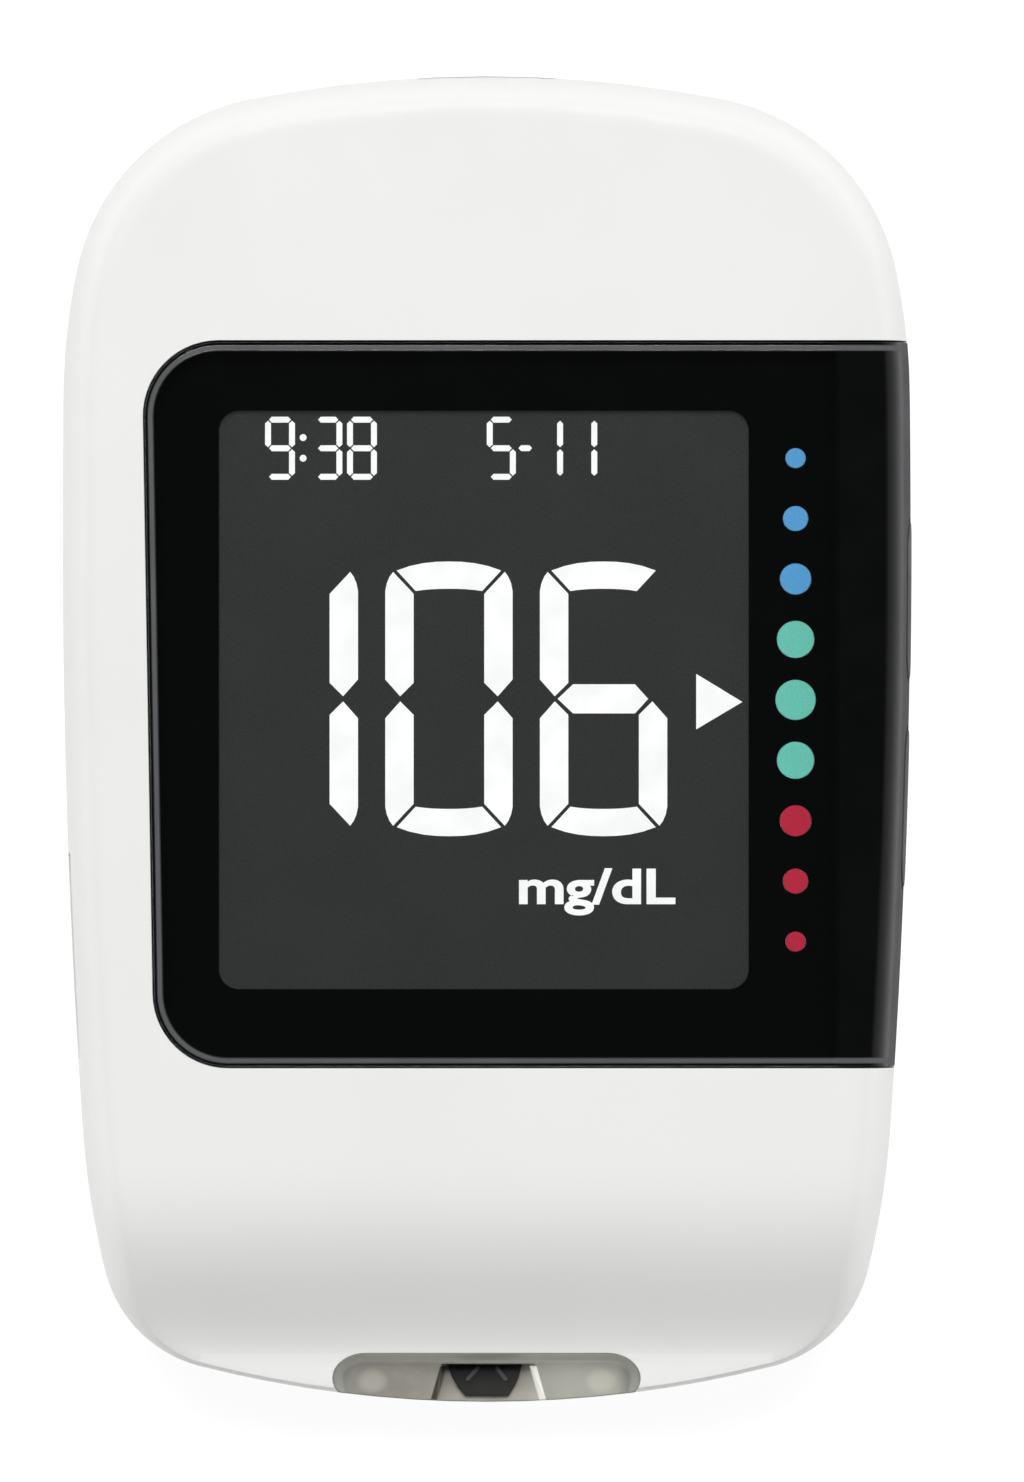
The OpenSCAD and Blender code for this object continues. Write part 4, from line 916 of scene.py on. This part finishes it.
def print_mask():
    """Black print under the window, open over the display, the dots and the buttons."""
    size = [high - low for low, high in zip(DISPLAY_MIN, DISPLAY_MAX)]
    centre = [(high + low) / 2 for low, high in zip(DISPLAY_MIN, DISPLAY_MAX)]
    cuts = [plate(round_rect(*size, DISPLAY_R, 12, centre), [(FACE_Z - 3, 0), (FACE_Z + 1, 0)])]
    cuts += [rod(radius + DOT_GAP, FACE_Z - 3, FACE_Z + 1, 40, place) for place, radius in dot_places()]
    cuts += [button_hole(y) for y in BUTTON_YS]
    sheet = window_sheet([(WINDOW_SEAT, -PRINT_GAP), (WINDOW_UNDER + INK_GAP, -PRINT_GAP)])
    bm = combined(sheet, *without(*cuts))
    return finished("print_mask", bm, BLACK_PRINT, stands_for=["window_mask"])


def dress(name, node, finish, width, body="root", segments=2):
    """A CAD node's own shape with its sharp edges rounded."""
    return finished(name, soften(merged_copy(node), width, segments), finish, body, [node])


front_cover()
rear_cover()
display_window()
print_mask()
dress("door_plate", "battery_door", WHITE_DOOR, 0.12, "battery_door")


# ---- Side buttons ----
def side_button(name, node, y):
    """Cap that follows the side and stands a little proud of it, on the flange that keeps it in."""
    reach = BUTTON_L / 2 + KEY_FLANGE_GROW
    inner = min(side_x(y - reach), side_x(y + reach)) - FRONT_WALL - KEY_FLANGE_GAP
    cap = combined(front_dome(-KEY_PROUD, steps=20),
                   ("INTERSECT", button_column(y, 0, [(inner - KEY_OVERLAP, 0), (HALF_W + 2, 0)])))
    soften(cap, KEY_EDGE, 3, 50, lambda edge: min(v.co.x for v in edge.verts) > inner + 1)
    flange = button_column(y, KEY_FLANGE_GROW, [(inner - KEY_FLANGE_T, 0), (inner, 0)])
    bm = combined(cap, ("UNION", flange))
    return finished(name, bm, BUTTON_GREY, node, [node])


side_button("back_key", "back_button", BUTTON_YS[0])
side_button("forward_key", "forward_button", BUTTON_YS[1])


# ---- Strip port ----
def port_bowl():
    """Basin whose floor falls toward the front, with a steep wall at the back and the ends."""
    basin = plate(opening_outline(BOWL_REACH), [(BOWL_Z + height, growth) for height, growth in BOWL])
    rows = (1, 0, 0, 0), (0, 1, 0, 0), (0, BOWL_SLOPE, 1, -BOWL_SLOPE * BOWL_FRONT), (0, 0, 0, 1)
    return turned(basin, Matrix(rows))


def strip_port():
    """Guide that fills the opening as a basin, with the channel for the strip through it."""
    strip = block((-STRIP_HALF, STRIP_Y, STRIP_Z[0]), (STRIP_HALF, CONNECTOR_FRONT + 1, STRIP_Z[1]))
    behind = block((-GUIDE_HALF, CONNECTOR_FRONT, PART_Z - 1), (GUIDE_HALF, CONNECTOR_FRONT + 5, 16))
    under = block((-GUIDE_HALF, GUIDE_UNDER_Y, PART_Z - 1),
                  (GUIDE_HALF, CONNECTOR_FRONT + OVERLAP, GUIDE_UNDER_Z))
    body = combined(opening_column(0), ("UNION", port_column(0, (-PORT_DEPTH, 0), (OPENING_ROOT, 0))))
    bm = combined(front_dome(GUIDE_SUNK, steps=20), ("INTERSECT", body),
                  *without(port_bowl(), strip_funnel(), strip, behind, under))
    return finished("port_guide", bm, PORT_GREY, stands_for=["strip_port_guide"])


def slot_mouth():
    """Dark plate on the floor of the funnel at the slot's mouth, painted shade where the slot lies in shadow.
    """
    bm = plate(MOUTH_PLAN, list(zip(MOUTH_Z, (0, 0, -0.05))))
    return finished("slot_mouth", bm, SLOT_SHADE)


def slot_ribs():
    """Two low ribs in the mouth that lean together toward the slot."""
    bm = bmesh.new()
    for start, end in RIB_LINES:
        slab(bm, stroke(start, end, RIB_W), RIB_Z, RIB_H)
    outward(bm)
    return finished("slot_ribs", bm, RIB_GREY)


strip_port()
slot_mouth()
slot_ribs()


# ---- Ejector ----
def return_spring():
    """Coil of flat wire between the ejector's bar and the screw boss.

    The wire's section lies in the plane that the coil is spun in, which is what flattens it.
    """
    x, y = -SCREWS[1][0], SPRING_FOOT + SPRING_WIRE + SPRING_GAP
    length = SPRING_ROOM - 2 * (SPRING_WIRE + SPRING_GAP)
    steps = SPRING_TURNS * SPRING_STEPS
    bm = bmesh.new()
    bmesh.ops.create_circle(bm, segments=10, radius=SPRING_WIRE)
    bmesh.ops.rotate(bm, matrix=Matrix.Rotation(math.pi / 2, 3, "X"), verts=bm.verts)
    moved(bm, (SPRING_R, 0, 0))
    ends = list(bm.edges)
    bmesh.ops.contextual_create(bm, geom=ends)
    spun = bmesh.ops.spin(bm, geom=ends, cent=(0, 0, 0), axis=(0, 1, 0), dvec=(0, length / steps, 0),
                          angle=2 * math.pi * SPRING_TURNS, steps=steps, use_merge=False)
    bmesh.ops.contextual_create(bm, geom=of_kind(spun["geom_last"], bmesh.types.BMEdge))
    outward(moved(bm, (x, y, SPRING_Z)))
    obj = finished("return_spring", bm, SPRING_STEEL, stands_for=["ejector_spring"],
                   smoothed=False)
    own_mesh(obj)


dress("ejector_bar", "ejector_slider", EJECTOR_GREY, 0.1, "ejector")
return_spring()

# ---- Inner pieces, each a CAD shape with its edges finished ----
dress("display_carrier", "lcd_holder", HOLDER_WHITE, 0.08)
dress("display_face", "lcd_front_glass", LCD_FRONT, 0.04, segments=1)
dress("display_back", "lcd_rear_glass", LCD_REAR, 0.04, segments=1)
dress("light_guide", "lcd_backlight", LIGHT_PLATE, 0.1)
dress("zebra_bar", "zebra_strip", ZEBRA, 0.1)
dress("circuit_board", "main_board", BOARD_GREEN, 0.05, segments=1)
dress("chip_set", "board_chips", CHIP_BLACK, 0.06)
dress("usb_shell", "usb_socket", USB_STEEL, 0.06)
dress("usb_insulator", "usb_tongue", USB_BLACK, 0.05)
dress("strip_socket", "strip_connector", CONNECTOR_CREAM, 0.06)
dress("contact_blades", "strip_contacts", BLADE_GOLD, 0.03, segments=1)
dress("back_switch_can", "back_switch", SWITCH_STEEL, 0.12)
dress("forward_switch_can", "forward_switch", SWITCH_STEEL, 0.12)
dress("back_plunger", "back_switch_stem", STEM_DARK, 0.12, "back_button")
dress("forward_plunger", "forward_switch_stem", STEM_DARK, 0.12, "forward_button")
dress("upper_coin_cell", "upper_cell", CELL_STEEL, 0.08)
dress("lower_coin_cell", "lower_cell", CELL_STEEL, 0.08)
dress("negative_springs", "negative_contacts", SHEET_NICKEL, 0.03, segments=1)
dress("positive_blades", "positive_contacts", SHEET_NICKEL, 0.04, segments=1)
dress("case_screw_set", "case_screws", SCREW_STEEL, 0.08)
dress("low_dots", "low_range_dots", BLUE_PRINT, 0.02, segments=1)
dress("target_dots", "target_range_dots", GREEN_PRINT, 0.02, segments=1)
dress("high_dots", "high_range_dots", RED_PRINT, 0.02, segments=1)


# ---- Reading on the display ----
LIT_Z, LIT_T = GLASS_TOP + 0.005, 0.015
CELL_W, CELL_TOP, CELL_LOW = 7.335, 10.223, -5.597
BIG_DIGITS = (("1", -7.398 - CELL_W), ("0", -5.828), ("6", 3.078))
POINTER = ((12.08, 3.75), (12.08, 0.554), (14.74, 2.135))
SMALL_TOP, SMALL_LOW, SMALL_STROKE = 18.39, 15.1, 0.34
# Small digits with their left and right edge, the dash between two of them, and the clock's two dots
SMALL_DIGITS = (("9", -12.58, -11.2), ("3", -9.76, -8.47), ("8", -7.86, -6.48), ("5", 0.19, 1.52),
                ("1", 4.24, 4.24), ("1", 6.21, 6.21))
DASH = ((1.78, 16.75), (2.69, 16.75))
CLOCK_DOTS, CLOCK_DOT_R = ((-10.56, 17.36), (-10.56, 16.17)), 0.2
UNIT_MIN, UNIT_MAX = (1.875, -10.16), (10.88, -7.44)


def mirrored_down(points, middle):
    return [(x, 2 * middle - y) for x, y in reversed(points)]


def mirrored_over(points, width):
    return [(width - x, y) for x, y in reversed(points)]


def bowed(inset, top, drop):
    """An edge across a digit's cell that bows down toward both ends."""
    return [(inset + (CELL_W - 2 * inset) * i / 8, top - drop * abs(i / 4 - 1) ** 2.4) for i in range(9)]


def big_segments():
    """Outlines of a large digit's seven segments, from the left edge of its cell."""
    top, middle, w = CELL_TOP, (CELL_TOP + CELL_LOW) / 2, CELL_W
    crown, under = bowed(0.66, top, 0.52), bowed(1.75, top - 1.57, 0.13)[::-1]
    upper = [(0.45, top - 0.6), (1.635, top - 1.862), (1.635, middle + 0.923), (0.858, middle + 0.146),
             (0, middle + 1.117), (0, top - 1.7), (0.09, top - 1.25), (0.25, top - 0.87)]
    bar = [(1.02, middle), (1.91, middle + 0.84), (w - 1.86, middle + 0.84), (w - 1.1, middle),
           (w - 1.86, middle - 0.84), (1.91, middle - 0.84)]
    lower = mirrored_down(upper, middle)
    return {"top": crown + under, "low": mirrored_down(crown + under, middle), "middle": bar,
            "left_up": upper, "right_up": mirrored_over(upper, w),
            "left_down": lower, "right_down": mirrored_over(lower, w)}


def small_segments():
    """Seven thin strokes with blunt ends, for a cell one unit wide and high."""
    return {"top": ((0, 1), (1, 1)), "middle": ((0, 0.5), (1, 0.5)), "low": ((0, 0), (1, 0)),
            "left_up": ((0, 0.5), (0, 1)), "right_up": ((1, 0.5), (1, 1)),
            "left_down": ((0, 0), (0, 0.5)), "right_down": ((1, 0), (1, 0.5))}


LIT = {"0": "top low left_up right_up left_down right_down", "1": "right_up right_down",
       "2": "top right_up middle left_down low", "3": "top right_up middle right_down low",
       "4": "left_up right_up middle right_down", "5": "top left_up middle right_down low",
       "6": "top left_up middle left_down right_down low", "7": "top right_up right_down",
       "8": "top low middle left_up right_up left_down right_down",
       "9": "top left_up right_up middle right_down low"}


def reading():
    """All that is lit on the display apart from the unit: the digits, the pointer, dash and dots."""
    big, small, shapes = big_segments(), small_segments(), []
    for digit, left in BIG_DIGITS:
        shapes += [[(left + x, y) for x, y in big[name]] for name in LIT[digit].split()]
    shapes.append(POINTER)
    for digit, left, right in SMALL_DIGITS:
        for name in LIT[digit].split():
            ends = [(left + (right - left) * x, SMALL_LOW + (SMALL_TOP - SMALL_LOW) * y)
                    for x, y in small[name]]
            shapes.append(stroke(*ends, SMALL_STROKE))
    shapes.append(stroke(*DASH, SMALL_STROKE))
    shapes += [arc(centre, CLOCK_DOT_R, 0, 337.5, 15) for centre in CLOCK_DOTS]
    bm = bmesh.new()
    for points in shapes:
        slab(bm, points, LIT_Z, LIT_T)
    outward(bm)
    return finished("reading", bm, SEGMENTS, sharp=20)


def unit_label():
    """The unit under the reading, in plain heavy letters."""
    text = bpy.data.curves.new("unit", "FONT")
    text.body, text.size, text.offset = "mg/dL", 3.0, 0.07
    holder = linked("unit", text)
    bpy.context.view_layer.update()
    bm = bmesh.new()
    bm.from_mesh(holder.to_mesh())
    bpy.data.objects.remove(holder)
    bmesh.ops.remove_doubles(bm, verts=bm.verts, dist=SHORT)
    low, high = ([pick(v.co[k] for v in bm.verts) for k in (0, 1)] for pick in (min, max))
    scale = [(UNIT_MAX[k] - UNIT_MIN[k]) / (high[k] - low[k]) for k in (0, 1)]
    moved(bm, (-low[0], -low[1], 0))
    bmesh.ops.scale(bm, vec=(*scale, 1), verts=bm.verts)
    moved(bm, (*UNIT_MIN, LIT_Z))
    bmesh.ops.translate(bm, vec=(0, 0, LIT_T), verts=raised(bm, list(bm.faces), True)[1])
    outward(bm)
    return finished("unit_label", bm, SEGMENTS, sharp=20)


reading()
unit_label()


# ---- Stage, lights and camera ----
FLOOR_SIZE, FLOOR_Z = 3.0, -0.0001
FLOOR_GLOW, FLOOR_SEEN, FLOOR_GLOSS = 0.45, 0.86, 0.1
AMBIENT, SIDE_LIGHT = 0.02, 2.0
CEILING, OVERHEAD, HORIZON = (0.0, 0.35), 0.03, 0.5
LENS, SENSOR, CLIP = 800, 36, (0.1, 10)
# The view in pixels, the pixel that the meter's middle falls on, and the scale at height SCALE_Z
VIEW_PX, MIDDLE_PX, PX_PER_MM, SCALE_Z = (1024, 1482), (486.5, 739), 17.33, 10


def floor_white():
    """White paper that glows: strongly in the camera's view, so that it stays white around a soft
    shadow, less toward the meter, and hardly at all in what the meter reflects."""
    f = Finish("floor_white")
    seen, glossy = (f.node("ShaderNodeLightPath", {}, out=f"Is {kind} Ray") for kind in ("Camera", "Glossy"))
    paper = f.mix(f.noise(0.2, 3), (0.70, 0.70, 0.70, 1), (0.72, 0.72, 0.72, 1))
    matte = f.node("ShaderNodeBsdfDiffuse", {}, f.mix(seen, paper, (0.26, 0.26, 0.26, 1)))
    glow = f.node("ShaderNodeEmission", {}, (1, 1, 1, 1),
                  FLOOR_GLOW + seen * (FLOOR_SEEN - FLOOR_GLOW) + glossy * (FLOOR_GLOSS - FLOOR_GLOW))
    lit = f.node("ShaderNodeAddShader", {}, matte, glow)
    under = f.node("ShaderNodeNewGeometry", {}, out="Backfacing")
    return f.done(f.layered(under, lit, f.node("ShaderNodeBsdfTransparent", {})))


def floor_sheet():
    bm = bmesh.new()
    bmesh.ops.create_grid(bm, x_segments=2, y_segments=2, size=FLOOR_SIZE)
    obj = mesh_object("floor", moved(bm, (0, 0, FLOOR_Z)))
    obj.data.materials.append(floor_white())


def lamp(name, place, target, size, power):
    """A rectangular lamp aimed at the target, in millimetres and watts."""
    data = bpy.data.lights.new(name, "AREA")
    data.shape, data.size, data.size_y = "RECTANGLE", size[0] * MM, size[1] * MM
    data.energy = power
    obj = linked(name, data)
    obj.location = Vector(place) * MM
    obj.rotation_euler = (Vector(target) - Vector(place)).to_track_quat("-Z", "Y").to_euler()


floor_sheet()
lamp("key_light", place=(0, 608, 1367), target=(0, 0, 8), size=(1100, 700), power=18.6)


class Surround(Finish):
    """The studio around the object, as a node tree on the world."""

    output = "ShaderNodeOutputWorld"

    def __init__(self, name):
        self.start(bpy.data.worlds.new(name), "Generated")


def studio():
    """Bright panels at both sides, a dark ceiling in reflections, and white where the camera looks."""
    f = Surround("studio")
    x, z = (f.node("ShaderNodeSeparateXYZ", {}, f.place, out=axis) for axis in "XZ")
    sideways = x * x
    ambient = sideways * sideways * SIDE_LIGHT + AMBIENT
    glossy = f.ramp(z, *CEILING, HORIZON, OVERHEAD)
    seen = [f.node("ShaderNodeLightPath", {}, out=f"Is {kind} Ray") for kind in ("Camera", "Glossy")]
    strength = ambient + (glossy - ambient) * seen[1]
    strength = strength + (1 - strength) * seen[0]
    return f.done(f.node("ShaderNodeBackground", {}, (1, 1, 1, 1), strength))


bpy.context.scene.world = studio()

camera_data = bpy.data.cameras.new("camera")
camera_data.lens, camera_data.sensor_width = LENS, SENSOR
camera_data.clip_start, camera_data.clip_end = CLIP
camera = linked("camera", camera_data)
camera.location = Vector(((VIEW_PX[0] / 2 - MIDDLE_PX[0]) / PX_PER_MM,
                          (MIDDLE_PX[1] - VIEW_PX[1] / 2) / PX_PER_MM,
                          SCALE_Z + VIEW_PX[1] / PX_PER_MM * LENS / SENSOR)) * MM
bpy.context.scene.camera = camera
bpy.context.scene.view_settings.view_transform = "Standard"
